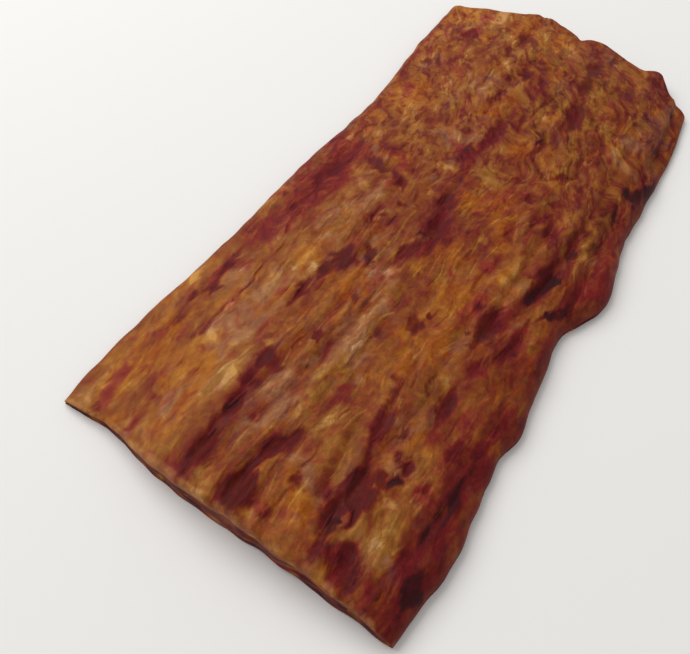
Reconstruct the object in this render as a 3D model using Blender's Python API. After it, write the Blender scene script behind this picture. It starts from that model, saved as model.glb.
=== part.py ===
"""A broad, flat slab of dried meat for a dog to chew, made as one solid.

The slab is cut straight across at one end and torn at the other. Its top is crowned, with long bundles
of fibre, creases between them and deeper grooves. Its underside is flat, with shallow hollows.

Sizes are in millimetres and the mesh is made in metres. +X runs along the grain from the cut end to the
torn end, +Y across the slab and +Z up. The origin is on the resting surface, under the slab's middle.
"""

from math import exp, sqrt

import bmesh
import bpy
from mathutils import Vector, noise

MM = 0.001

# The whole slab
LENGTH = 153.0
WIDTH = 73.0
CROWN = 8.0  # thickest part, along a line a little right of the middle
CROWN_PLACE = 0.42  # share of the width, from the right side, where the crown runs
LEFT_EDGE = 3.0  # thickness near the long sides
RIGHT_EDGE = 3.2
LEFT_FALL = 1.8  # power of the curve from the crown to each side: higher holds the height longer
RIGHT_FALL = 2.8
THINNEST = 1.3

# Outline. A swelling is (centre, reach, height): it moves the edge by its height there and dies away.
RIGHT_SIDE_Y = -34.1
RIGHT_SWELLINGS = [(-59, 11, -1.9), (-33, 4, -1.2), (-12, 7, 1.7), (3, 9.5, -3.0), (64, 12, 2.2)]
LEFT_SIDE_Y = 34.7
LEFT_SWELLINGS = [(-62, 26, 3.0), (28, 20, -2.1)]
CUT_END_X = -74.7
CUT_SWELLINGS = [(38, 3, 0.6), (30, 14, 3.3), (-2, 4.5, -0.2), (-13, 3, -0.4), (-36, 20, -1.7)]
TORN_END_X = 70.9
TORN_SWELLINGS = [
    (37, 6, 2.4),
    (25.5, 5.5, 2.3),
    (11, 11, 5.9),
    (-1.2, 1.3, -1.4),
    (-6.5, 4.6, 2.5),
    (-17.5, 2.6, -1.4),
    (-21, 1.6, 0.9),
    (-26.5, 2.6, -1.6),
]
TORN_CORNER_Y = -22.6  # the torn end's right corner slopes away from here
TORN_CORNER_SLOPE = 0.9

# Ends and rims
CORNER_THINNING = 0.45  # share of thickness lost at the cut end's left corner
CORNER_REACH = 24.5
TORN_THINNING = 0.34  # share of thickness lost at the torn end
TORN_REACH = 26.0
SIDE_ROUNDING = 2.4
CUT_ROUNDING = 0.9
TORN_ROUNDING = 1.6
SIDE_WALL = 0.45  # share of the thickness that stands as a wall at each kind of edge
CUT_WALL = 0.82
TORN_WALL = 0.6
LEDGE_START = 34.0  # a low lip runs along the right side from here to the torn end
LEDGE_RUN = 10.0  # length over which it begins
LEDGE_WIDTH = 3.4
LEDGE_HEIGHT = 2.2
LEDGE_STEP = 1.5  # width of the step from the lip up to the top

# Fibre bundles on the top
BUNDLE_WIDTH = 5.2
BUNDLE_LENGTH = 38.0
BUNDLE_HEIGHT = 2.0
BUNDLE_MEAN = 0.25  # the mean of their noise, taken off so that they add no thickness
LEFT_CALM = 0.5  # share of their height that is left where the surface is calmer
LEFT_CALM_START = 9.0
LEFT_CALM_RUN = 8.0
FAR_CALM = 0.5
FAR_CALM_START = 2.0
FAR_CALM_RUN = 30.0
WANDER = 2.0  # how far their courses stray
WANDER_WIDTH = 22.0
WANDER_LENGTH = 34.0
LUMP_WIDTH = 24.0
LUMP_LENGTH = 38.4
LUMP_HEIGHT = 0.7
FULL_RELIEF_THICKNESS = 6.0  # thinner than this, the relief is scaled down

# Grooves on the top: (start x, start y, end x, end y, width, depth)
GROOVES = [
    (-72, 7.6, -62, 8.3, 3.4, 1.1),
    (-61, 8.3, -55, 8.8, 2.2, 1.1),
    (-55, 9.6, -50, 10.2, 2.4, 1.0),
    (-50, 9.6, -44.5, 8.8, 3.4, 1.1),
    (-75, -2.4, -66, -1.2, 4.0, 1.5),
    (-66, -1.4, -56, -4.3, 2.8, 1.2),
    (-67, -8.4, -61, -8.8, 2.0, 0.7),
    (-66, -14.8, -60.5, -12.8, 2.2, 0.8),
    (-70, -17.2, -62, -16, 3.4, 1.1),
    (-64.5, -19.6, -54, -16.4, 3.2, 1.3),
    (-54, -16.2, -41, -13.7, 2.4, 1.0),
    (-58.5, -18.5, -55, -22, 2.8, 1.2),
    (-54, -22.2, -50, -21.6, 2.4, 0.9),
    (-75, -22.5, -66.5, -22.8, 5.4, 1.0),
    (-43, -22, -33, -22.6, 2.2, 0.8),
    (-33, -22.8, -27, -24.6, 2.2, 0.7),
    (-50, -28.3, -41, -28.3, 3.0, 0.7),
    (-39.5, 28, -36, 29.3, 2.2, 0.7),
    (-36, 29.3, -27.5, 29.4, 2.4, 0.7),
    (-35, 12.4, -27, 12.0, 2.0, 0.9),
    (-27, 11.4, -18.5, 10.6, 3.0, 1.2),
    (-19.3, 4.5, -15, 8.4, 2.0, 0.8),
    (-11, 27, 12, 26.8, 4.5, 1.0),
    (-17, 0.4, -9, -1, 2.6, 0.9),
    (-10, -2.4, 1, -1.4, 4.2, 1.2),
    (0, -0.8, 7, 0.4, 2.8, 1.1),
    (-9, 10.2, -6.8, 7, 2.6, 0.8),
    (5, 13.5, 1.5, 10.2, 2.6, 0.7),
    (15, 3.6, 19, 1.6, 2.6, 0.9),
    (20, 1.2, 33, 1.0, 2.6, 1.0),
    (11.5, -13.2, 14.6, -16.2, 2.6, 0.8),
    (20.4, -11.8, 20, -15.4, 2.2, 0.7),
    (23.5, -8.6, 33, -9.2, 2.0, 0.8),
    (-23.5, -20.6, -15, -21.4, 4.0, 1.1),
    (-28, -25.2, -15, -26.8, 2.6, 0.9),
    (-12, -24.2, 2, -26, 3.2, 1.1),
    (2, -26.2, 14, -25.8, 2.2, 0.9),
    (1.5, -22.6, 11.5, -19.4, 2.2, 0.8),
    (36, -12.4, 46, -10.8, 3.0, 1.1),
    (46, -10.6, 55, -9.2, 2.6, 1.0),
    (55, -9, 64.5, -8.8, 2.8, 1.1),
    (46.5, 3, 50.5, 3.8, 3.0, 0.9),
    (58, 8.8, 65, 10.6, 2.4, 0.8),
    (55, 22.4, 61, 23, 3.0, 0.7),
]
GROOVE_OVERRUN = 0.1  # share of its length by which a groove's lens shape runs past each end
GROOVE_TAPER = 1.6  # how soon it is full: higher keeps more of its length wide and deep
GROOVE_END_WIDTH = 0.4  # share of its width at its ends
GROOVE_END_DEPTH = 0.5
GROOVE_REACH = 3.0  # half widths from its line, past which nothing is left of it
COURSE_WAVER = 1.6  # how far noise moves it along the slab
COURSE_WAVER_SIZE = 7.0
SIDE_WAVER = 1.1  # and across it
SIDE_WAVER_LENGTH = 8.0
SIDE_WAVER_WIDTH = 5.0
FLOOR_UNEVENNESS = 0.5
FLOOR_LENGTH = 6.0
FLOOR_WIDTH = 2.5

# Underside
HOLLOW_WIDTH = 8.0
HOLLOW_LENGTH = 40.0
HOLLOW_DEPTH = 1.6
HOLLOW_START = 0.12  # how much of the underside stays flat: higher leaves more of it flat
HOLLOW_MARGIN = 8.0  # the hollows fade out this far from the rims
EDGE_LIFT = 0.9  # height of the underside at the rims
EDGE_LIFT_REACH = 2.5
CUT_ARCHES = [(-12, 4.0, 1.6), (-29, 4.0, 1.0)]  # where the cut end's lower edge arches up
ARCH_REACH = 9.0
CUT_LIFT = 0.3  # share of the edge lift that the cut end keeps, because it is cut square

# Layers of the noise, one for each use
BUNDLE_LAYER = 1.0
WANDER_LAYER = 5.0
LUMP_LAYER = 9.0
SIDE_LAYER = 12.0
HOLLOW_LAYER = 20.0
COURSE_LAYER = 30.0
FLOOR_LAYER = 40.0

# Mesh
CELL = 0.9
WALL_ROWS = 4
TRIANGLES = 11600
LEVELLED = 0.02  # what the thinning leaves this near the resting surface is put back on it


def swell(place, swellings):
    """How far a row of swellings moves an edge at this place."""
    return sum(height * exp(-(((place - centre) / reach) ** 2)) for centre, reach, height in swellings)


def right_side(x):
    return RIGHT_SIDE_Y + swell(x, RIGHT_SWELLINGS)


def left_side(x):
    return LEFT_SIDE_Y + swell(x, LEFT_SWELLINGS)


def cut_end(y):
    return CUT_END_X + swell(y, CUT_SWELLINGS)


def torn_end(y):
    cut_back = TORN_CORNER_SLOPE * max(0.0, TORN_CORNER_Y - y)
    return TORN_END_X - cut_back + swell(y, TORN_SWELLINGS)


def between(start, end, share):
    return start * (1 - share) + end * share


def plan(u, v):
    """The plan position of a point u of the way to the torn end and v of the way to the left side."""
    x_right = between(cut_end(RIGHT_SIDE_Y), torn_end(RIGHT_SIDE_Y), u)
    x_left = between(cut_end(LEFT_SIDE_Y), torn_end(LEFT_SIDE_Y), u)
    y = between(right_side(x_right), left_side(x_left), v)
    return between(cut_end(y), torn_end(y), u), y


def stretched_noise(x, y, length, width, layer):
    """Smooth noise from -1 to 1, drawn out along the grain."""
    return noise.noise(Vector((x / length, y / width, layer)))


def fade(share):
    """Rises smoothly from 0 to 1 as share does."""
    share = min(1.0, max(0.0, share))
    return share * share * (3 - 2 * share)


def full_thickness(u, v):
    """Thickness before the rims are rounded: crowned across, thinner at two places."""
    if v > CROWN_PLACE:
        out = (v - CROWN_PLACE) / (1 - CROWN_PLACE)
        edge, power = LEFT_EDGE, LEFT_FALL
    else:
        out = (CROWN_PLACE - v) / CROWN_PLACE
        edge, power = RIGHT_EDGE, RIGHT_FALL
    crowned = edge + (CROWN - edge) * (1 - out**power)
    from_cut, from_left = u * LENGTH, (1 - v) * WIDTH
    corner = CORNER_THINNING * exp(-((from_cut / CORNER_REACH) ** 2) - (from_left / CORNER_REACH) ** 2)
    torn = TORN_THINNING * fade(1 - (1 - u) * LENGTH / TORN_REACH)
    return crowned * (1 - corner) * (1 - torn)


def rounding(distance, radius, wall):
    """Share of the height at this distance from a rim that stands as a wall and then rounds over."""
    if distance >= radius:
        return 1.0
    inward = 1 - distance / radius
    return wall + (1 - wall) * sqrt(1 - inward * inward)


def rim_share(u, v):
    cut = rounding(u * LENGTH, CUT_ROUNDING, CUT_WALL)
    torn = rounding((1 - u) * LENGTH, TORN_ROUNDING, TORN_WALL)
    right = rounding(v * WIDTH, SIDE_ROUNDING, SIDE_WALL)
    left = rounding((1 - v) * WIDTH, SIDE_ROUNDING, SIDE_WALL)
    return cut * torn * min(right, left)


def ledge(x, v, height):
    """Lowers the right rim to a thin lip near the torn end."""
    on_ledge = 1 - fade((v * WIDTH - LEDGE_WIDTH) / LEDGE_STEP)
    begun = fade((x - LEDGE_START) / LEDGE_RUN)
    return between(height, min(height, LEDGE_HEIGHT), on_ledge * begun)


def bundles(x, y):
    """Long rounded bundles of fibre with sharp creases between them."""
    wandering = y + WANDER * stretched_noise(x, y, WANDER_LENGTH, WANDER_WIDTH, WANDER_LAYER)
    ridged = abs(stretched_noise(x, wandering, BUNDLE_LENGTH, BUNDLE_WIDTH, BUNDLE_LAYER))
    left = between(1, LEFT_CALM, fade((y - LEFT_CALM_START) / LEFT_CALM_RUN))
    far = between(1, FAR_CALM, fade((x - FAR_CALM_START) / FAR_CALM_RUN))
    return BUNDLE_HEIGHT * left * far * (ridged - BUNDLE_MEAN)


def lumps(x, y):
    return LUMP_HEIGHT * stretched_noise(x, y, LUMP_LENGTH, LUMP_WIDTH, LUMP_LAYER)


def groove(x, y, start_x, start_y, end_x, end_y, width, depth):
    """Depth of one lens-shaped groove at a point of the plan."""
    run_x, run_y = end_x - start_x, end_y - start_y
    length = sqrt(run_x * run_x + run_y * run_y)
    along = ((x - start_x) * run_x + (y - start_y) * run_y) / length
    across = ((y - start_y) * run_x - (x - start_x) * run_y) / length
    beyond = max(0.0, -along, along - length)
    from_end = min(along, length - along) / length
    full = fade(GROOVE_TAPER * (from_end + GROOVE_OVERRUN))
    half = width / 2 * between(GROOVE_END_WIDTH, 1, full)
    if beyond > width or abs(across) > GROOVE_REACH * half:
        return 0.0
    left_of_it = exp(-((across / half) ** 2) - (2 * beyond / width) ** 2)
    return depth * between(GROOVE_END_DEPTH, 1, full) * left_of_it


def grooves(x, y):
    """Depth of the grooves here, their courses wavering and their floors uneven."""
    course = COURSE_WAVER * stretched_noise(x, y, COURSE_WAVER_SIZE, COURSE_WAVER_SIZE, COURSE_LAYER)
    side = SIDE_WAVER * stretched_noise(x, y, SIDE_WAVER_LENGTH, SIDE_WAVER_WIDTH, SIDE_LAYER)
    uneven = 1 + FLOOR_UNEVENNESS * stretched_noise(x, y, FLOOR_LENGTH, FLOOR_WIDTH, FLOOR_LAYER)
    return uneven * max(groove(x + course, y + side, *sizes) for sizes in GROOVES)


def underside(u, v):
    """Height of the underside: flat, with long shallow hollows, and lifted at the rims."""
    x, y = plan(u, v)
    from_cut = u * LENGTH
    from_other_rims = min((1 - u) * LENGTH, v * WIDTH, (1 - v) * WIDTH)
    hollow = max(0.0, stretched_noise(x, y, HOLLOW_LENGTH, HOLLOW_WIDTH, HOLLOW_LAYER) - HOLLOW_START)
    hollow *= fade(min(from_cut, from_other_rims) / HOLLOW_MARGIN)
    at_cut = CUT_LIFT * (1 - fade(from_cut / EDGE_LIFT_REACH))
    at_other_rims = 1 - fade(from_other_rims / EDGE_LIFT_REACH)
    lift = EDGE_LIFT * max(at_cut, at_other_rims) * full_thickness(u, v) / CROWN
    arch = swell(y, CUT_ARCHES) * (1 - fade(from_cut / ARCH_REACH))
    return HOLLOW_DEPTH * hollow + lift + arch


def topside(u, v):
    """Height of the top: crowned and rounded over at the rims, with its relief."""
    x, y = plan(u, v)
    thickness = full_thickness(u, v)
    scale = min(1.0, thickness / FULL_RELIEF_THICKNESS)
    relief = (bundles(x, y) + lumps(x, y) - grooves(x, y)) * scale
    height = ledge(x, v, thickness + relief) * rim_share(u, v)
    return max(height, underside(u, v) + THINNEST * rim_share(u, v))


def rim_path(columns, rows):
    """Grid places round the rim, anticlockwise from above, starting at the cut end's right corner."""
    right = [(i, 0) for i in range(columns)]
    torn = [(columns, j) for j in range(rows)]
    left = [(i, rows) for i in range(columns, 0, -1)]
    cut = [(0, j) for j in range(rows, 0, -1)]
    return right + torn + left + cut


def slab_mesh():
    """The top and the underside as two grids over the same plan, joined by a wall."""
    columns = round(LENGTH / CELL)
    rows = round(WIDTH / CELL)
    mesh = bmesh.new()
    top, under = {}, {}
    for i in range(columns + 1):
        for j in range(rows + 1):
            u, v = i / columns, j / rows
            x, y = plan(u, v)
            top[i, j] = mesh.verts.new(Vector((x, y, topside(u, v))) * MM)
            under[i, j] = mesh.verts.new(Vector((x, y, underside(u, v))) * MM)
    for i in range(columns):
        for j in range(rows):
            around = [(i, j), (i + 1, j), (i + 1, j + 1), (i, j + 1)]
            mesh.faces.new([top[place] for place in around])
            mesh.faces.new([under[place] for place in reversed(around)])

    path = rim_path(columns, rows)
    rings = [[under[place] for place in path]]
    for row in range(1, WALL_ROWS):
        share = row / WALL_ROWS
        rings.append([mesh.verts.new(under[place].co.lerp(top[place].co, share)) for place in path])
    rings.append([top[place] for place in path])
    for lower, upper in zip(rings, rings[1:]):
        for n in range(len(path)):
            after = (n + 1) % len(path)
            mesh.faces.new([lower[n], lower[after], upper[after], upper[n]])
    bmesh.ops.recalc_face_normals(mesh, faces=mesh.faces)

    data = bpy.data.meshes.new("meat_slab")
    mesh.to_mesh(data)
    mesh.free()
    data.shade_smooth()
    return data


def thinned(slab):
    """The slab's mesh with fewer triangles where it is smooth, and with its flat underside level again."""
    fewer = slab.modifiers.new("fewer triangles where it is smooth", "DECIMATE")
    fewer.ratio = TRIANGLES / (2 * len(slab.data.polygons))
    evaluated = slab.evaluated_get(bpy.context.evaluated_depsgraph_get())
    data = bpy.data.meshes.new_from_object(evaluated)
    slab.modifiers.remove(fewer)
    for vertex in data.vertices:
        if vertex.co.z < LEVELLED * MM:
            vertex.co.z = 0.0
    return data


def dried_meat():
    """Air-dried meat: red brown, dull with a slight greasy shine."""
    material = bpy.data.materials.new("dried meat")
    material.use_nodes = True
    shader = material.node_tree.nodes["Principled BSDF"]
    shader.inputs["Base Color"].default_value = (0.22, 0.060, 0.020, 1.0)
    shader.inputs["Roughness"].default_value = 0.55
    shader.inputs["Metallic"].default_value = 0.0
    return material


def main():
    for thing in list(bpy.data.objects):
        bpy.data.objects.remove(thing)
    slab = bpy.data.objects.new("meat_slab", slab_mesh())
    bpy.context.scene.collection.objects.link(slab)
    slab.data = thinned(slab)
    slab.data.materials.append(dried_meat())


main()
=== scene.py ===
"""The looks of a flat slab of air-dried meat: its surface, its finish, its loose fibres and its stage.

Tables and constants are in millimetres, as in the slab's own model, and meshes are made in metres. +X runs
along the grain from the cut end to the torn end, +Y across the slab and +Z up.
"""

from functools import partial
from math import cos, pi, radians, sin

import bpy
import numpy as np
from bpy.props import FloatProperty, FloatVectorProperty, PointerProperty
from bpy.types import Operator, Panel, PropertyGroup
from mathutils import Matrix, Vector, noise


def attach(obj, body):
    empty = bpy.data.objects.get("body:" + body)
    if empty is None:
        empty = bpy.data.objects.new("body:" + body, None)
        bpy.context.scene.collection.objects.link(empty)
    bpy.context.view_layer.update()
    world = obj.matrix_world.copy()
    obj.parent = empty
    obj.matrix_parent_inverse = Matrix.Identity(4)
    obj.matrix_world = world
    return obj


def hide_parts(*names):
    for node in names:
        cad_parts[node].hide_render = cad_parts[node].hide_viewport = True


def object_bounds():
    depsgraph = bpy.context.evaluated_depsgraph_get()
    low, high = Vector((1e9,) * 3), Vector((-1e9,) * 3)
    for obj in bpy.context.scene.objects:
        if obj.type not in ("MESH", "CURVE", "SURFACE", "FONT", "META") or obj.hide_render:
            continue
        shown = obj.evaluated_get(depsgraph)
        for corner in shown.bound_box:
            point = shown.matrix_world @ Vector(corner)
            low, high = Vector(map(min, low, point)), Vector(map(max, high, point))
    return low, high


bl_info = {
    "name": "Dried Meat Slab",
    "version": (1, 0, 0),
    "blender": (4, 5, 0),
    "location": "3D View > Sidebar > Dried Meat",
    "description": "Builds a flat slab of air-dried meat with its fibres, creases and finish",
    "category": "Object",
}

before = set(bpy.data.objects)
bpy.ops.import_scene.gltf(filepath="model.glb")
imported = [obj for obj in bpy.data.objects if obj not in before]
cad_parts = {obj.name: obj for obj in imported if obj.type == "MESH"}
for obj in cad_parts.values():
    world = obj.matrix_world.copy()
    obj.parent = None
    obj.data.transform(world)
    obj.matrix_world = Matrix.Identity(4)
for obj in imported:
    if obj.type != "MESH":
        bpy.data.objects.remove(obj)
CAD_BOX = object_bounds()

MM = 0.001

# The whole slab, as its solid has it
LENGTH = 153.0
WIDTH = 73.0
CROWN = 8.0
CROWN_PLACE = 0.42
LEFT_EDGE = 3.0
RIGHT_EDGE = 3.2
LEFT_FALL = 1.8
RIGHT_FALL = 2.8
THINNEST = 1.3

# Outline. A swelling is (centre, reach, height): it moves the edge by its height there and dies away.
RIGHT_SIDE_Y = -34.1
RIGHT_SWELLINGS = [(-59, 11, -1.9), (-33, 4, -1.2), (-12, 7, 1.7), (3, 9.5, -3.0), (64, 12, 2.2)]
LEFT_SIDE_Y = 34.7
LEFT_SWELLINGS = [(-62, 26, 3.0), (28, 20, -2.1)]
CUT_END_X = -74.7
CUT_SWELLINGS = [(38, 3, 0.6), (30, 14, 3.3), (-2, 4.5, -0.2), (-13, 3, -0.4), (-36, 20, -1.7)]
TORN_END_X = 70.9
TORN_SWELLINGS = [
    (37, 6, 2.4),
    (25.5, 5.5, 2.3),
    (11, 11, 5.9),
    (-1.2, 1.3, -1.4),
    (-6.5, 4.6, 2.5),
    (-17.5, 2.6, -1.4),
    (-21, 1.6, 0.9),
    (-26.5, 2.6, -1.6),
]
TORN_CORNER_Y = -22.6
TORN_CORNER_SLOPE = 0.9

# Ends and rims
CORNER_THINNING = 0.45
CORNER_REACH = 24.5
TORN_THINNING = 0.34
TORN_REACH = 26.0
SIDE_ROUNDING = 2.4
CUT_ROUNDING = 0.9
TORN_ROUNDING = 1.6
SIDE_WALL = 0.45
CUT_WALL = 0.82
TORN_WALL = 0.6
LEDGE_START = 34.0
LEDGE_RUN = 10.0
LEDGE_WIDTH = 3.4
LEDGE_HEIGHT = 2.2
LEDGE_STEP = 1.5

# Fibre bundles on the top
BUNDLE_WIDTH = 5.2
BUNDLE_LENGTH = 38.0
BUNDLE_HEIGHT = 2.0
BUNDLE_MEAN = 0.25
LEFT_CALM = 0.5
LEFT_CALM_START = 9.0
LEFT_CALM_RUN = 8.0
FAR_CALM = 0.5
FAR_CALM_START = 2.0
FAR_CALM_RUN = 30.0
WANDER = 2.0
WANDER_WIDTH = 22.0
WANDER_LENGTH = 34.0
LUMP_WIDTH = 24.0
LUMP_LENGTH = 38.4
LUMP_HEIGHT = 0.7
FULL_RELIEF_THICKNESS = 6.0

# Grooves on the top: (start x, start y, end x, end y, width, depth)
GROOVES = [
    (-72, 7.6, -62, 8.3, 3.4, 1.1),
    (-61, 8.3, -55, 8.8, 2.2, 1.1),
    (-55, 9.6, -50, 10.2, 2.4, 1),
    (-50, 9.6, -44.5, 8.8, 3.4, 1.1),
    (-75, -2.4, -66, -1.2, 4, 1.5),
    (-66, -1.4, -56, -4.3, 2.8, 1.2),
    (-67, -8.4, -61, -8.8, 2, 0.7),
    (-66, -14.8, -60.5, -12.8, 2.2, 0.8),
    (-70, -17.2, -62, -16, 3.4, 1.1),
    (-64.5, -19.6, -54, -16.4, 3.2, 1.3),
    (-54, -16.2, -41, -13.7, 2.4, 1),
    (-58.5, -18.5, -55, -22, 2.8, 1.2),
    (-54, -22.2, -50, -21.6, 2.4, 0.9),
    (-75, -22.5, -66.5, -22.8, 5.4, 1),
    (-43, -22, -33, -22.6, 2.2, 0.8),
    (-33, -22.8, -27, -24.6, 2.2, 0.7),
    (-50, -28.3, -41, -28.3, 3, 0.7),
    (-39.5, 28, -36, 29.3, 2.2, 0.7),
    (-36, 29.3, -27.5, 29.4, 2.4, 0.7),
    (-35, 12.4, -27, 12, 2, 0.9),
    (-27, 11.4, -18.5, 10.6, 3, 1.2),
    (-19.3, 4.5, -15, 8.4, 2, 0.8),
    (-11, 27, 12, 26.8, 4.5, 1),
    (-17, 0.4, -9, -1, 2.6, 0.9),
    (-10, -2.4, 1, -1.4, 4.2, 1.2),
    (0, -0.8, 7, 0.4, 2.8, 1.1),
    (-9, 10.2, -6.8, 7, 2.6, 0.8),
    (5, 13.5, 1.5, 10.2, 2.6, 0.7),
    (15, 3.6, 19, 1.6, 2.6, 0.9),
    (20, 1.2, 33, 1, 2.6, 1),
    (11.5, -13.2, 14.6, -16.2, 2.6, 0.8),
    (20.4, -11.8, 20, -15.4, 2.2, 0.7),
    (23.5, -8.6, 33, -9.2, 2, 0.8),
    (-23.5, -20.6, -15, -21.4, 4, 1.1),
    (-28, -25.2, -15, -26.8, 2.6, 0.9),
    (-12, -24.2, 2, -26, 3.2, 1.1),
    (2, -26.2, 14, -25.8, 2.2, 0.9),
    (1.5, -22.6, 11.5, -19.4, 2.2, 0.8),
    (36, -12.4, 46, -10.8, 3, 1.1),
    (46, -10.6, 55, -9.2, 2.6, 1),
    (55, -9, 64.5, -8.8, 2.8, 1.1),
    (46.5, 3, 50.5, 3.8, 3, 0.9),
    (58, 8.8, 65, 10.6, 2.4, 0.8),
    (55, 22.4, 61, 23, 3, 0.7),
]
GROOVE_OVERRUN = 0.1
GROOVE_TAPER = 1.6
GROOVE_END_WIDTH = 0.4
GROOVE_END_DEPTH = 0.5
COURSE_WAVER = 1.6
COURSE_WAVER_SIZE = 7.0
SIDE_WAVER = 1.1
SIDE_WAVER_LENGTH = 8.0
SIDE_WAVER_WIDTH = 5.0
FLOOR_UNEVENNESS = 0.5
FLOOR_LENGTH = 6.0
FLOOR_WIDTH = 2.5
FRAY = 0.7  # finer wavering of the grooves' sides, which the solid leaves out
FRAY_SIZE = (3.2, 1.6)

# Finer creases, too fine for the solid, in the same form
CREASES = [
    (-72.5, -8, -68, -8.6, 1.6, 0.6),
    (-74, -16.8, -70, -17.2, 1.8, 0.6),
    (-50, -19.6, -45, -19.4, 1.6, 0.7),
    (-57, -26.4, -53, -27.4, 2.4, 0.6),
    (-60, 4.8, -57, 4.4, 1.6, 0.6),
    (-60.5, 0.2, -56.5, -0.2, 1.4, 0.5),
    (-66, 22.9, -60, 22.4, 1, 0.4),
    (-54, 24.1, -38, 23.3, 0.9, 0.5),
    (-39, 23.3, -27, 23.6, 0.8, 0.5),
    (-52, 29.2, -42, 28.8, 1.4, 0.5),
    (-43.5, 30.8, -38, 30.2, 1.5, 0.6),
    (-36, 15.3, -31, 15.2, 0.8, 0.4),
    (-41.5, -18.6, -34, -17.8, 1, 0.6),
    (-30.5, -11, -25.2, -8.8, 1.5, 0.7),
    (-25, -10.2, -23.8, -12.2, 1, 0.6),
    (-34, -4, -31.5, -6.5, 2, 0.5),
    (-40, 2.6, -37.5, 4.8, 2, 0.6),
    (-30, 2.4, -26.5, 3.4, 1.5, 0.6),
    (-19, -14.3, -8, -14.7, 0.9, 0.5),
    (-12.5, -28.6, -6, -31.4, 1.5, 0.7),
    (-9, 24.3, -3, 24.3, 0.7, 0.4),
    (-8, 22.9, -3, 22.5, 0.7, 0.4),
    (-7, 21.4, -4.5, 21, 0.7, 0.4),
    (-4, 7.6, -2, 7.4, 2, 0.7),
    (7, 21, 5.2, 14, 2, 0.6),
    (0.5, -14.3, 4.5, -14.4, 0.8, 0.5),
    (3, -16.8, 8, -17, 1, 0.5),
    (15, -9.8, 18, -10.4, 1.7, 0.7),
    (14.2, -17.6, 15, -21, 1.5, 0.6),
    (20, -15.4, 24.5, -19.1, 1.5, 0.7),
    (24.5, -19.1, 33, -16.4, 1.2, 0.7),
    (20, -22.2, 22.5, -22.4, 2.2, 0.6),
    (8.5, -30.4, 17, -31, 1.8, 0.6),
    (17, 19.9, 19.2, 18.4, 1.3, 0.6),
    (19.2, 18.4, 29, 17, 0.9, 0.5),
    (24, 5.4, 26, 6.8, 1.6, 0.6),
    (31, -3.4, 36.5, -1.6, 1.4, 0.6),
    (36, -4, 46, -4.8, 1.3, 0.7),
    (46, -1.3, 48.4, -1.9, 1.3, 0.6),
    (52, -4.5, 55.4, -4.1, 1.2, 0.6),
    (52, 2.4, 56, 3.2, 1.7, 0.7),
    (53, 11, 57, 12.4, 1.8, 0.7),
    (54, 6, 56.4, 7, 1.4, 0.6),
    (42, 26.4, 47, 27.4, 2, 0.6),
    (64.5, -11.6, 69, -12, 2, 0.8),
    (63, -22.4, 69, -21.6, 2.6, 0.7),
    (57, 17.4, 61, 18, 1.5, 0.5),
]

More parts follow.
